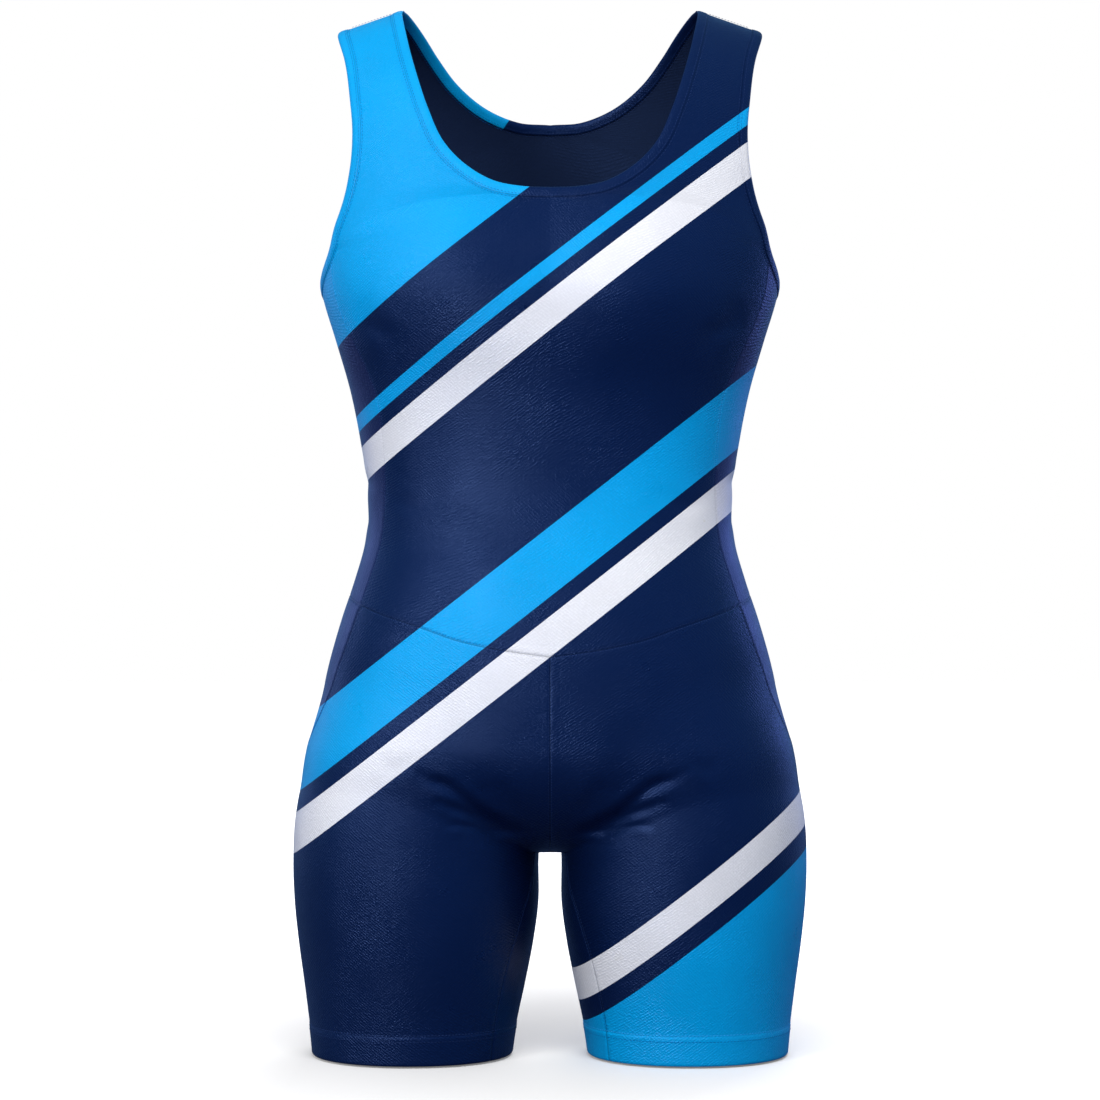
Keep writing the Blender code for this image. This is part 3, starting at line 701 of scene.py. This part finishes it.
def makeKnit():
    # the knit's height, how its tone and gloss wander, and painted shade along the seams; Place is metres along
    # and across the cloth
    outputs = {"Height": "Float", "Tone": "Float", "Roughness": "Float"}
    group, given, results = newGroup("knitSurface", {"Place": "Vector", "Seam Away": "Float"}, outputs)
    place, away = given["Place"], given["Seam Away"]

    def times(first, second):
        return calculate(group, "MULTIPLY", first, second)

    def plus(first, second):
        return calculate(group, "ADD", first, second)

    def spread(key, where):
        pattern, ends = knit[key]
        return rangeOf(group, noise(group, where, *pattern), *ends)

    ribs = 0.0
    for index, (angle, strength) in enumerate(knit["ribs"]):
        shift = tuple(index * step for step in knit["ribShift"])
        inputs = {"Vector": place, "Location": shift, "Rotation": (0, 0, np.radians(angle))}
        turned = addNode(group, "Mapping", inputs)[0]
        stretched = addNode(group, "Mapping", {"Vector": turned, "Scale": (knit["dashLength"], 1, 1)})[0]
        lines = wave(group, turned, "Y", knit["ribPitch"], *knit["ribWander"])
        broken = times(times(lines, spread("dashes", stretched)), spread("patches", turned))
        ribs = plus(times(broken, strength), ribs)
    wales = wave(group, place, "X", knit["walePitch"], knit["loopWander"])
    loops = times(wales, wave(group, place, "Y", knit["coursePitch"], knit["loopWander"]))
    pucker = times(spread("puckers", place), rangeOf(group, away, 0, knit["puckerWidth"], 1, 0))
    height = plus(plus(ribs, times(loops, knit["loopHeight"])), times(pucker, knit["puckerHeight"]))
    fine = times(calculate(group, "SUBTRACT", ribs, 0.2), knit["ribTone"])
    # painted shade: the tone is darkened next to a seam, where its groove is
    tone = times(plus(spread("clouds", place), fine), rangeOf(group, away, *knit["seamShade"]))
    feed(group, results, {"Height": height, "Tone": tone, "Roughness": spread("gloss", place)})
    return group


printGroup, knitGroup = makePrint(), makeKnit()


def objectPlace(tree):
    return addNode(tree, "TexCoord", {})["Object"]


def printed(tree, colours):
    return addNode(tree, "Group", colours | {"Place": objectPlace(tree)}, node_tree=printGroup)["Color"]


def toneOver(tree, colour, tone):
    grey = addNode(tree, "CombineColor", {0: tone, 1: tone, 2: tone})[0]
    return mixColour(tree, 1.0, colour, grey, "MULTIPLY")


def newMaterial(name):
    made = bpy.data.materials.new(name)
    made.use_nodes = True
    return made, made.node_tree, made.node_tree.nodes["Principled BSDF"].inputs


def bumpFrom(tree, height, strength, distance):
    return addNode(tree, "Bump", {"Height": height, "Strength": strength, "Distance": distance})[0]


def clothMaterial(name, finish):
    made, tree, shader = newMaterial(name)
    place, away = (addNode(tree, "Attribute", {}, attribute_name=key) for key in ("clothPlace", "seamAway"))
    surface = addNode(tree, "Group", {"Place": place["Vector"], "Seam Away": away["Fac"]}, node_tree=knitGroup)
    colour = finish["ground"]
    if finish["printed"]:
        colour = printed(tree, {"Ground": colour, "Sky": printColours["sky"], "White": printColours["white"]})
    values = {
        "Base Color": toneOver(tree, colour, surface["Tone"]),
        "Roughness": calculate(tree, "ADD", surface["Roughness"], finish["roughness"]),
        "Sheen Weight": finish["sheen"],
        "Sheen Roughness": sheenRoughness,
        "Sheen Tint": finish["tint"],
        "Specular IOR Level": finish["gloss"],
        "Specular Tint": finish["tint"],
        "Normal": bumpFrom(tree, surface["Height"], finish["bump"], knit["bumpDistance"]),
    }
    feed(tree, shader, values)
    return made


satinBlue, satinViolet = (0.26, 0.43, 1.0), (0.42, 0.45, 1.0)
sheenRoughness = 0.4
finishColumns = ("ground", "printed", "roughness", "sheen", "gloss", "bump", "tint")
finishes = {
    "printed": (printColours["navy"], True, 0.32, 0.0, 0.75, 0.55, satinBlue),
    # the side panels' ground is the navy painted lighter and more violet, a painted sheen where light grazes
    # the sides
    "side": ((0.0066, 0.0118, 0.054), True, 0.34, 0.06, 0.8, 0.4, satinViolet),
    "binding": (printColours["navy"], True, 0.35, 0.0, 0.7, 0.45, satinBlue),
    "inside": ((0.0085, 0.0168, 0.048), False, 0.6, 0.04, 0.2, 0.6, satinBlue),
}
twist = {"noise": (1400, 1, 0.5), "tones": (0.3, 0.7, 0.8, 1.15), "roughness": 0.5, "bump": (0.3, 0.0001)}


def threadMaterial(name):
    made, tree, shader = newMaterial(name)
    strands = rangeOf(tree, noise(tree, objectPlace(tree), *twist["noise"]), *twist["tones"])
    values = {
        "Base Color": toneOver(tree, printed(tree, threadColours[name]), strands),
        "Roughness": twist["roughness"],
        "Specular Tint": satinBlue,
        "Normal": bumpFrom(tree, strands, *twist["bump"]),
    }
    feed(tree, shader, values)
    return made


materials = {key: clothMaterial(key + "Knit", dict(zip(finishColumns, row))) for key, row in finishes.items()}
materials |= {name: threadMaterial(name) for name in threadColours}
print("materials made")

# Cloth

cloth = {
    "wall": 0.0011,
    "grooveDepth": 0.00042,  # how far a seam's edge turns in
    "grooveWidth": 0.0013,
    "bodyWidth": (0.18, 0.195),  # a rounder and a wider one, between which x is opened out for the knit
    "sharpAngle": 50,
}


def gapsTo(grid, sides):
    # for each point, the distance along the cloth to the nearest seam of those named
    across = np.linalg.norm(np.diff(grid, axis=1), axis=2)
    down = np.linalg.norm(np.diff(grid, axis=0), axis=2)
    fromLeft = np.concatenate([np.zeros((len(grid), 1)), np.cumsum(across, axis=1)], axis=1)
    fromTop = np.concatenate([np.zeros((1, grid.shape[1])), np.cumsum(down, axis=0)], axis=0)
    away = np.full(grid.shape[:2], 1.0)
    found = {
        "firstColumn": fromLeft,
        "lastColumn": fromLeft[:, -1:] - fromLeft,
        "firstRow": fromTop,
        "lastRow": fromTop[-1:] - fromTop,
    }
    for side in sides:
        away = np.minimum(away, found[side])
    return away, fromTop


def gridMesh(grid):
    rows, columns = grid.shape[:2]
    bm = bmesh.new()
    bmesh.ops.create_grid(bm, x_segments=columns - 1, y_segments=rows - 1, size=1)
    for vert, point in zip(bm.verts, grid.reshape(-1, 3)):
        vert.co = point
    return bm


def addObject(name, data):
    made = bpy.data.objects.new(name, data)
    bpy.context.scene.collection.objects.link(made)
    return made


def addPiece(bm, name, materialNames, node=None):
    mesh = bpy.data.meshes.new(name)
    bm.to_mesh(mesh)
    bm.free()
    mesh.shade_smooth()
    for key in materialNames:
        mesh.materials.append(materials[key])
    made = addObject(name, mesh)
    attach(made, "root")
    if node:
        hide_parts(node)
    return made


def addCloth(bm, name, materialNames, node):
    bmesh.ops.recalc_face_normals(bm, faces=bm.faces[:])
    if bm.calc_volume(signed=True) < 0:
        bmesh.ops.reverse_faces(bm, faces=bm.faces[:])
    made = addPiece(bm, name, materialNames, node)
    made.data.set_sharp_from_angle(angle=np.radians(cloth["sharpAngle"]))
    return made


def hemRise(z):
    top = cut["hemZ"] + hem["depth"]
    rise = hem["rise"] * smoothStep((top - z) / hem["step"])
    fold = np.clip(1 - (z - cut["hemZ"]) / hem["rollHeight"], 0, 1)
    return rise, hem["roll"] * fold**2


def acrossCloth(grid, facing):
    # metres across the cloth for the knit: x opened out on the front and back, y on the sides and inner legs
    rounder, wider = cloth["bodyWidth"]
    return grid[..., 1] if facing == "side" else rounder * np.arcsin(grid[..., 0] / wider)


def clothLayers(bm):
    return bm.verts.layers.float_vector.new("clothPlace"), bm.verts.layers.float.new("seamAway")


def flipped(bm):
    bmesh.ops.scale(bm, verts=bm.verts[:], vec=(-1, 1, 1))


def clothPanel(
    name, grid, sides, node, slot, outside, mirrored=False, whole=False, lower=False, facing="front"
):
    # whole: both halves; mirrored: the wearer's right; lower: the knit runs plumb, as on the legs
    away, down = gapsTo(grid, sides)
    bm = gridMesh(grid)
    placeLayer, awayLayer = clothLayers(bm)
    level = grid[..., 2] if lower else down.mean(axis=1, keepdims=True).repeat(grid.shape[1], 1)
    uAll, vAll = acrossCloth(grid, facing).reshape(-1), level.reshape(-1)
    for vert, u, v, gap in zip(bm.verts, uAll, vAll, away.reshape(-1)):
        vert[placeLayer] = (u, v, 0)
        vert[awayLayer] = gap
    if whole:
        bmesh.ops.mirror(bm, geom=bm.verts[:] + bm.edges[:] + bm.faces[:], merge_dist=1e-5, axis="X")
        for vert in bm.verts:
            u, v, w = vert[placeLayer]
            if vert.co.x < 0 and facing == "front":
                vert[placeLayer] = (-abs(u), v, w)
    if mirrored:
        flipped(bm)
    made = bmesh.ops.extrude_face_region(bm, geom=bm.faces[:])
    inner = [item for item in made["geom"] if isinstance(item, bmesh.types.BMVert)]
    innerSet = set(inner)
    outer = [vert for vert in bm.verts if vert not in innerSet]
    for verts, outward in ((inner, False), (outer, True)):
        points = np.array([vert.co for vert in verts])
        ways = formNormals(points)
        gaps = np.array([vert[awayLayer] for vert in verts])
        groove = cloth["grooveDepth"] * np.exp(-((gaps / cloth["grooveWidth"]) ** 2))
        rise, fold = hemRise(points[:, 2])
        shift = rise - fold - groove if outward else fold - rise - cloth["wall"] - groove
        for vert, way, distance in zip(verts, ways, shift):
            vert.co += type(vert.co)(way * distance)
    for face in bm.faces:
        face.material_index = 1 if all(vert in innerSet for vert in face.verts) else 0
    return addCloth(bm, name, (outside, "inside"), node)


binding = {
    "inset": 0.005,  # the cloth's raw edge stops this far from the rim, inside the fold
    "skin": 0.00045,
    "middle": -0.00075,  # the middle of the fold, below the cloth's face
    "ripple": 0.05,  # share by which its thickness comes and goes, over these two lengths together
    "rippleLengths": (0.0135, 0.047),
    # half of the fold's outer line, from its sewn edge: distance from the rim, height above the middle
    "line": (
        (0.008, 0.00098), (0.0077, 0.00118), (0.0071, 0.00128), (0.0062, 0.0013),
        (0.005, 0.00139), (0.0038, 0.00143), (0.0027, 0.00138), (0.0017, 0.0012),
        (0.0009, 0.00088), (0.0003, 0.00048), (0.0, 0.0),
    ),
}


def foldSection():
    # the folded strip's section as a closed line: round the outside, then back along the inside
    top = np.array(binding["line"])
    outside = np.concatenate([top, (top * (1, -1))[-2::-1]])
    slopes = np.gradient(outside, axis=0)
    square = np.column_stack([-slopes[:, 1], slopes[:, 0]]) / np.linalg.norm(slopes, axis=1)[:, None]
    inside = outside + square * binding["skin"]
    return np.concatenate([outside, inside[::-1], outside[:1]])


def foldedBinding(name, loop, directions, node, mirrored=False):
    section = foldSection()
    along = lengthsAlong(np.concatenate([loop, loop[:1]]))[:-1]
    waves = [np.sin(along / length * 2 * np.pi) for length in binding["rippleLengths"]]
    ripple = 1 + binding["ripple"] * waves[0] * waves[1]
    based = {distance: movedIn(loop, directions, distance) for distance in np.unique(section[:, 0])}
    ways = {distance: formNormals(points) for distance, points in based.items()}
    heights = binding["middle"] + section[:, 1:] * ripple
    grid = np.stack([based[d] + ways[d] * high[:, None] for d, high in zip(section[:, 0], heights)], axis=1)
    around = lengthsAlong(np.column_stack([section, np.zeros(len(section))]))
    bm = gridMesh(np.concatenate([grid, grid[:1]]))
    placeLayer, awayLayer = clothLayers(bm)
    lengths = np.append(along, along[-1] + (along[1] - along[0]))
    for index, vert in enumerate(bm.verts):
        row, column = divmod(index, len(section))
        # the knit is mirrored halfway round and halfway along, so that its ends meet
        vert[placeLayer] = (abs(around[column] - around[-1] / 2), abs(lengths[row] - lengths[-1] / 2), 0)
        vert[awayLayer] = max(section[0, 0] - section[column, 0], 0.0004)
    bmesh.ops.remove_doubles(bm, verts=bm.verts[:], dist=1e-6)
    if mirrored:
        flipped(bm)
    return addCloth(bm, name, ("binding",), node)


def bothHalves(half, directions):
    flip = np.array([-1, 1, 1])
    return [np.concatenate([line, line[-2:0:-1] * flip]) for line in (half, directions)]


neck, neckWays = neckEdges()
armhole, armholeWays = armholeEdges()
neckLine = movedIn(neck, neckWays, binding["inset"])
neckLine[[0, -1], 0] = 0
armLine = movedIn(armhole, armholeWays, binding["inset"])
frontRows, sideCells, seatRows = cells["frontStrapRows"], cells["side"], cells["seatRows"]
neckFrontLine, neckBackLine = neckLine[: frontRows + 1], neckLine[frontRows:][::-1]
armFrontLine = armLine[: frontRows + 1][::-1]
armUnderLine = armLine[frontRows : frontRows + sideCells + 1]
armBackLine = np.concatenate([armLine[frontRows + sideCells :], armLine[:1]])

frontWaist, backWaist = waistHeight(sideFrontY), waistHeight(sideBackY)
frontSeam = sideSeam(armFrontLine[0], sideFrontY, frontWaist)
backSeam = sideSeam(armBackLine[0], sideBackY, backWaist)
frontGrid = bodiceHalf(neckFrontLine, armFrontLine, frontSeam, -1)
backGrid = bodiceHalf(neckBackLine, armBackLine, backSeam, 1)
sideShares = crowdedShares(rowWidths(frontSeam, backSeam), sideCells)
underarmZ = np.interp(sideShares[-1], np.linspace(0, 1, sideCells + 1), armUnderLine[:, 2])
sideUpperGrid = levelRows(frontSeam, backSeam, underarmZ, sideShares)
sideUpperGrid[-1] = pointsAt(armUnderLine, sideShares[-1])
print("bodice grids made")

frontInner, backInner = innerBoundary(-1), innerBoundary(1)
frontOuter, backOuter = outerBoundary(sideFrontY, frontWaist), outerBoundary(sideBackY, backWaist)
legFrontGrid = lowerPanel(frontInner, frontOuter, cells["legFront"])
sideLowerGrid = lowerPanel(frontOuter, backOuter, sideCells)
legBackGrid = lowerPanel(backOuter, backInner, cells["legBack"], behind=True)
gussetGrid = gussetHalf(frontInner[seatRows:], backInner[seatRows:])
print("leg grids made")

rowEnds, columnEnds = ("firstRow", "lastRow"), ("firstColumn", "lastColumn")
pairSeams = (*columnEnds, "firstRow")


def addPanel(key, grid, seams, node, slot, finish, **options):
    clothPanel(key + "Cloth", grid, seams, node, slot, finish, **options)


addPanel("frontBodice", frontGrid, rowEnds, "front_bodice", "printed_knit", "printed", whole=True)
addPanel("backBodice", backGrid, rowEnds, "back_bodice", "printed_knit", "printed", whole=True)
legWays = {"whole": True, "lower": True, "facing": "side"}
addPanel("gusset", gussetGrid, columnEnds, "gusset", "navy_knit", "printed", **legWays)
for side, end, turned in (("Left", "_left", False), ("Right", "_right", True)):
    for key, grid, node, slot, finish, options in (
        ("sideUpper", sideUpperGrid, "side_upper", "side_knit", "side", {"facing": "side"}),
        ("sideLower", sideLowerGrid, "side_lower", "side_knit", "side", {"facing": "side", "lower": True}),
        ("legFront", legFrontGrid, "leg_front", "printed_knit", "printed", {"lower": True}),
        ("legBack", legBackGrid, "leg_back", "printed_knit", "printed", {"lower": True}),
    ):
        addPanel(key + side, grid, pairSeams, node + end, slot, finish, mirrored=turned, **options)
    name = "armholeBinding" + side
    foldedBinding(name, armhole, armholeWays, "armhole_binding" + end, turned)
neckLoop, neckLoopWays = bothHalves(neck, neckWays)
foldedBinding("neckBinding", neckLoop, neckLoopWays, "neck_binding")

# Stitches: each is a grain of thread, and a seam's grains are joined in one mesh

thread = {
    "radius": 0.00020,
    "flatness": 0.75,
    "sides": 5,
    "rings": 3,
    "fill": 0.8,  # share of the pitch that a grain takes
    "step": 0.002,  # share of a seam over which its way is measured
}


def threadGrain():
    # one grain, a unit long along X, as points and faces
    bm = bmesh.new()
    bmesh.ops.create_uvsphere(bm, u_segments=thread["sides"], v_segments=thread["rings"], radius=1)
    bmesh.ops.rotate(bm, verts=bm.verts[:], matrix=Matrix.Rotation(np.pi / 2, 3, "Y"))
    bm.verts.index_update()
    points = np.array([vert.co for vert in bm.verts])
    faces = [[vert.index for vert in face.verts] for face in bm.faces]
    bm.free()
    return points, faces


grainPoints, grainFaces = threadGrain()


def evenAlong(curve, pitch):
    along = lengthsAlong(curve)[-1]
    count = max(int(round(along / pitch)), 2)
    shares = (np.arange(count) + 0.5) / count
    step = thread["step"]
    ways = pointsAt(curve, np.clip(shares + step, 0, 1)) - pointsAt(curve, np.clip(shares - step, 0, 1))
    return pointsAt(curve, shares), ways / np.linalg.norm(ways, axis=1, keepdims=True), along / count


def grainsAlong(curve, row):
    # the points of one row's grains: turned 0 along the seam, 90 across it
    points, ways, pitch = evenAlong(curve, row["pitch"])
    up = formNormals(points)
    side = np.cross(up, ways)
    across = side / np.linalg.norm(side, axis=1, keepdims=True)
    turn = np.radians(row.get("turn", 0.0))
    frames = (ways * np.cos(turn) + across * np.sin(turn), across * np.cos(turn) - ways * np.sin(turn), up)
    places = points + side * row.get("offset", 0.0) + up * row["lift"]
    half = row.get("length", pitch * thread["fill"]) / 2
    radius = row.get("radius", thread["radius"])
    local = grainPoints * (half, radius, radius * thread["flatness"])
    return places[:, None] + local @ np.stack(frames, axis=1)


def stitchPiece(name, rows, bothSides=True):
    # rows are (curve, row) pairs; bothSides adds the wearer's right
    made = [grainsAlong(curve, row) for curve, row in rows]
    pale = np.concatenate([np.full(len(grains), "pale" in row) for grains, (curve, row) in zip(made, rows)])
    grains = np.concatenate(made)
    if bothSides:
        grains, pale = np.concatenate([grains, grains * (-1, 1, 1)]), np.tile(pale, 2)
    starts = np.arange(len(grains)) * len(grainPoints)
    faces = [[start + index for index in face] for start in starts for face in grainFaces]
    loose = bpy.data.meshes.new(name + "Loose")
    loose.from_pydata(grains.reshape(-1, 3), [], faces)
    bm = bmesh.new()
    bm.from_mesh(loose)
    bpy.data.meshes.remove(loose)
    bmesh.ops.recalc_face_normals(bm, faces=bm.faces[:])
    made = addPiece(bm, name, threadColours)
    made.data.polygons.foreach_set("material_index", np.repeat(pale, len(grainFaces)).astype(np.int32))
    print(name, len(grains), "stitches")


def onGroove(offset, extra):
    # height of a grain beside a seam, where the cloth turns in
    return extra - cloth["grooveDepth"] * np.exp(-((offset / cloth["grooveWidth"]) ** 2))


def twinRows(offset, extra, **settings):
    # two rows alike, one on each side of a seam
    return [{"offset": side * offset, "lift": onGroove(offset, extra), **settings} for side in (1, -1)]


def edgeRow(distance, lift, **settings):
    # a row this far from the rim or the hem's fold
    return {"distance": distance, "pitch": 0.0026, "lift": lift, **settings}


threadLift = 0.00008
# rows marked pale are real stitches in the paler thread, painted paler as a highlight on the seam's lit side
seamRows = {
    "flat": twinRows(0.0011, threadLift, pitch=0.0024)[::-1],
    "shoulder": twinRows(0.0011, -0.00007, pitch=0.0024)[::-1],
    "waist": [
        {"pitch": 0.0024, "offset": 0.0011, "lift": onGroove(0.0011, 0.00002)},
        {"pitch": 0.0022, "offset": -0.0011, "lift": onGroove(0.0011, threadLift), "pale": True},
    ],
    "centre": [
        {"pitch": 0.0024, "offset": -0.0011, "lift": onGroove(0.0011, threadLift)},
        {"pitch": 0.0022, "offset": 0.0011, "lift": onGroove(0.0011, threadLift), "pale": True},
    ],
    # the upper side seams' whole ladder is in the paler thread, a painted highlight on real stitches
    "paleHighlightLadder": [
        {"pitch": 0.0016, "turn": 82.0, "length": 0.0024, "lift": -0.00004, "radius": 0.00015, "pale": True},
        *twinRows(0.0013, 0.0001, pitch=0.0027, radius=0.00015, pale=True),
    ],
    "ladder": [
        {"pitch": 0.0011, "turn": 82.0, "length": 0.0027, "lift": 0.00002, "radius": 0.00019},
        *twinRows(0.0014, 0.00012, pitch=0.0027, radius=0.00016),
    ],
    # on the outside, then on the inside
    "rim": [
        edgeRow(0.0064, 0.0006),
        edgeRow(0.0092, 0.00008),
        edgeRow(0.0064, -0.00206),
        edgeRow(0.0092, -0.00118),
        edgeRow(0.008, -0.00176, turn=68.0, length=0.0027, radius=0.00015),
    ],
    "hem": [
        edgeRow(0.0181, 0.00058),
        edgeRow(0.0228, 0.00009, pale=True),
        edgeRow(0.0181, -0.00168),
        edgeRow(0.0228, -0.00119),
    ],
}


def seam(kind, *curves):
    return [(curve, row) for curve in curves for row in seamRows[kind]]


def rimRows(loop, directions):
    loop, directions = (np.concatenate([line, line[:1]]) for line in (loop, directions))
    return [(movedIn(loop, directions, row["distance"]), row) for row in seamRows["rim"]]


def centreSeam(angle, way):
    return onFace(0.0, np.linspace(float(waistZ(angle)), centreEnds["z"], centreEnds["points"]), way)


centreEnds = {"z": cut["crotchZ"] + 0.0025, "points": 120}
halfTurn, wholeTurn = np.linspace(0, 180, 361), np.linspace(0, 360, 481)
strapTop = np.array([ridgePoint(x) for x in np.linspace(0.1185, 0.1485, 12)])  # between the two bindings
hemRows = [(atBearing(wholeTurn, cut["hemZ"] + row["distance"]), row) for row in seamRows["hem"]]

stitchPiece("waistStitches", seam("waist", atBearing(halfTurn, waistZ(halfTurn))))
stitchPiece("centreStitches", seam("centre", centreSeam(0.0, -1), centreSeam(180.0, 1)), bothSides=False)
stitchPiece("shoulderStitches", seam("shoulder", strapTop))
stitchPiece("sideUpperStitches", seam("paleHighlightLadder", frontSeam, backSeam))
stitchPiece("sideLowerStitches", seam("ladder", frontOuter, backOuter))
stitchPiece("innerLegStitches", seam("flat", frontInner[seatRows:], backInner[seatRows:]))
stitchPiece("neckStitches", rimRows(neckLoop, neckLoopWays), bothSides=False)
stitchPiece("armholeStitches", rimRows(armhole, armholeWays))
stitchPiece("hemStitches", hemRows)
print("stitches made")

# Stage

floorSettings = {
    "drop": 0.0015,
    "size": 7.0,
    "colour": (0.80, 0.80, 0.80),
    "unseenColour": (0.04, 0.075, 0.17),  # to all but the camera, so that it doesn't light the cloth
    # the glow that makes it white to the camera, dimmer near the suit so that its shadow shows
    "glowRadii": (0.12, 0.80),
    "glow": (0.17, 0.75),
}


def floorMaterial():
    made, tree, shader = newMaterial("floor")
    level = addNode(tree, "Mapping", {"Vector": objectPlace(tree), "Scale": (1, 1, 0)})[0]
    radius = addNode(tree, "VectorMath", {0: level}, operation="LENGTH")["Value"]
    glow = rangeOf(tree, radius, *floorSettings["glowRadii"], *floorSettings["glow"], "SMOOTHSTEP")
    seen = addNode(tree, "LightPath", {})["Is Camera Ray"]
    values = {
        "Base Color": mixColour(tree, seen, floorSettings["unseenColour"], floorSettings["colour"]),
        "Roughness": 0.9,
        "Specular IOR Level": 0.0,
        "Emission Color": (1, 1, 1),
        "Emission Strength": calculate(tree, "MULTIPLY", seen, glow),
    }
    feed(tree, shader, values)
    return made


bm = bmesh.new()
bmesh.ops.create_grid(bm, x_segments=1, y_segments=1, size=floorSettings["size"])
bmesh.ops.translate(bm, verts=bm.verts[:], vec=(0, 0, cut["hemZ"] - floorSettings["drop"]))
floorMesh = bpy.data.meshes.new("floor")
bm.to_mesh(floorMesh)
bm.free()
floorMesh.materials.append(floorMaterial())
addObject("floor", floorMesh)

# Name, place, size, power, colour, and whether it shows as a highlight or only lights the cloth
lights = (
    ("key", (-1.35, -2.0, 0.1), 0.7, 27, (1.0, 1.0, 1.0), True),
    ("front", (0.25, -2.1, 1.7), 1.7, 58, (1.0, 1.0, 1.0), False),
    ("back", (0.6, 2.3, 1.2), 1.8, 46, (1.0, 1.0, 1.0), False),
    ("rimLeft", (1.9, 1.9, 0.0), 0.8, 5, (0.22, 0.28, 1.0), True),
    ("rimRight", (-1.9, 1.9, 0.0), 0.8, 3, (0.35, 0.4, 1.0), True),
)
lightsAim = Vector((0.0, 0.0, -0.4))
for name, place, size, power, colour, glossy in lights:
    data = bpy.data.lights.new(name, "AREA")
    data.size, data.energy, data.color = size, power, colour
    lamp = addObject(name, data)
    lamp.location = place
    lamp.visible_glossy = glossy
    lamp.rotation_euler = (lamp.location - lightsAim).to_track_quat("Z", "Y").to_euler()

studioAir = {"strength": 0.6, "diffuse": (0.72, 0.72, 0.72), "reflected": (0.2, 0.48, 0.9)}
world = bpy.data.worlds.new("studio")
world.use_nodes = True
tree = world.node_tree
rays = addNode(tree, "LightPath", {})
air = mixColour(tree, rays["Is Glossy Ray"], studioAir["diffuse"], studioAir["reflected"])
feed(tree, tree.nodes["Background"].inputs, {"Strength": studioAir["strength"], "Color": air})
seen = addNode(tree, "Background", {"Color": (1, 1, 1)})[0]
lit = tree.nodes["Background"].outputs[0]
mixed = addNode(tree, "MixShader", {0: rays["Is Camera Ray"], 1: lit, 2: seen})[0]
feed(tree, tree.nodes["World Output"].inputs, {0: mixed})
bpy.context.scene.world = world
bpy.context.scene.view_settings.view_transform = "Standard"

# The camera takes in this many metres at the suit, from this far in front, level with its middle
view = {"width": 0.825, "distance": 2.5, "z": -0.40425, "sensor": 36}
camera = addObject("camera", bpy.data.cameras.new("camera"))
camera.location = (0.0, -view["distance"], view["z"])
camera.rotation_euler = (np.radians(90), 0, 0)
camera.data.sensor_width = view["sensor"]
camera.data.lens = view["sensor"] * view["distance"] / view["width"]
bpy.context.scene.camera = camera
print("stage made")
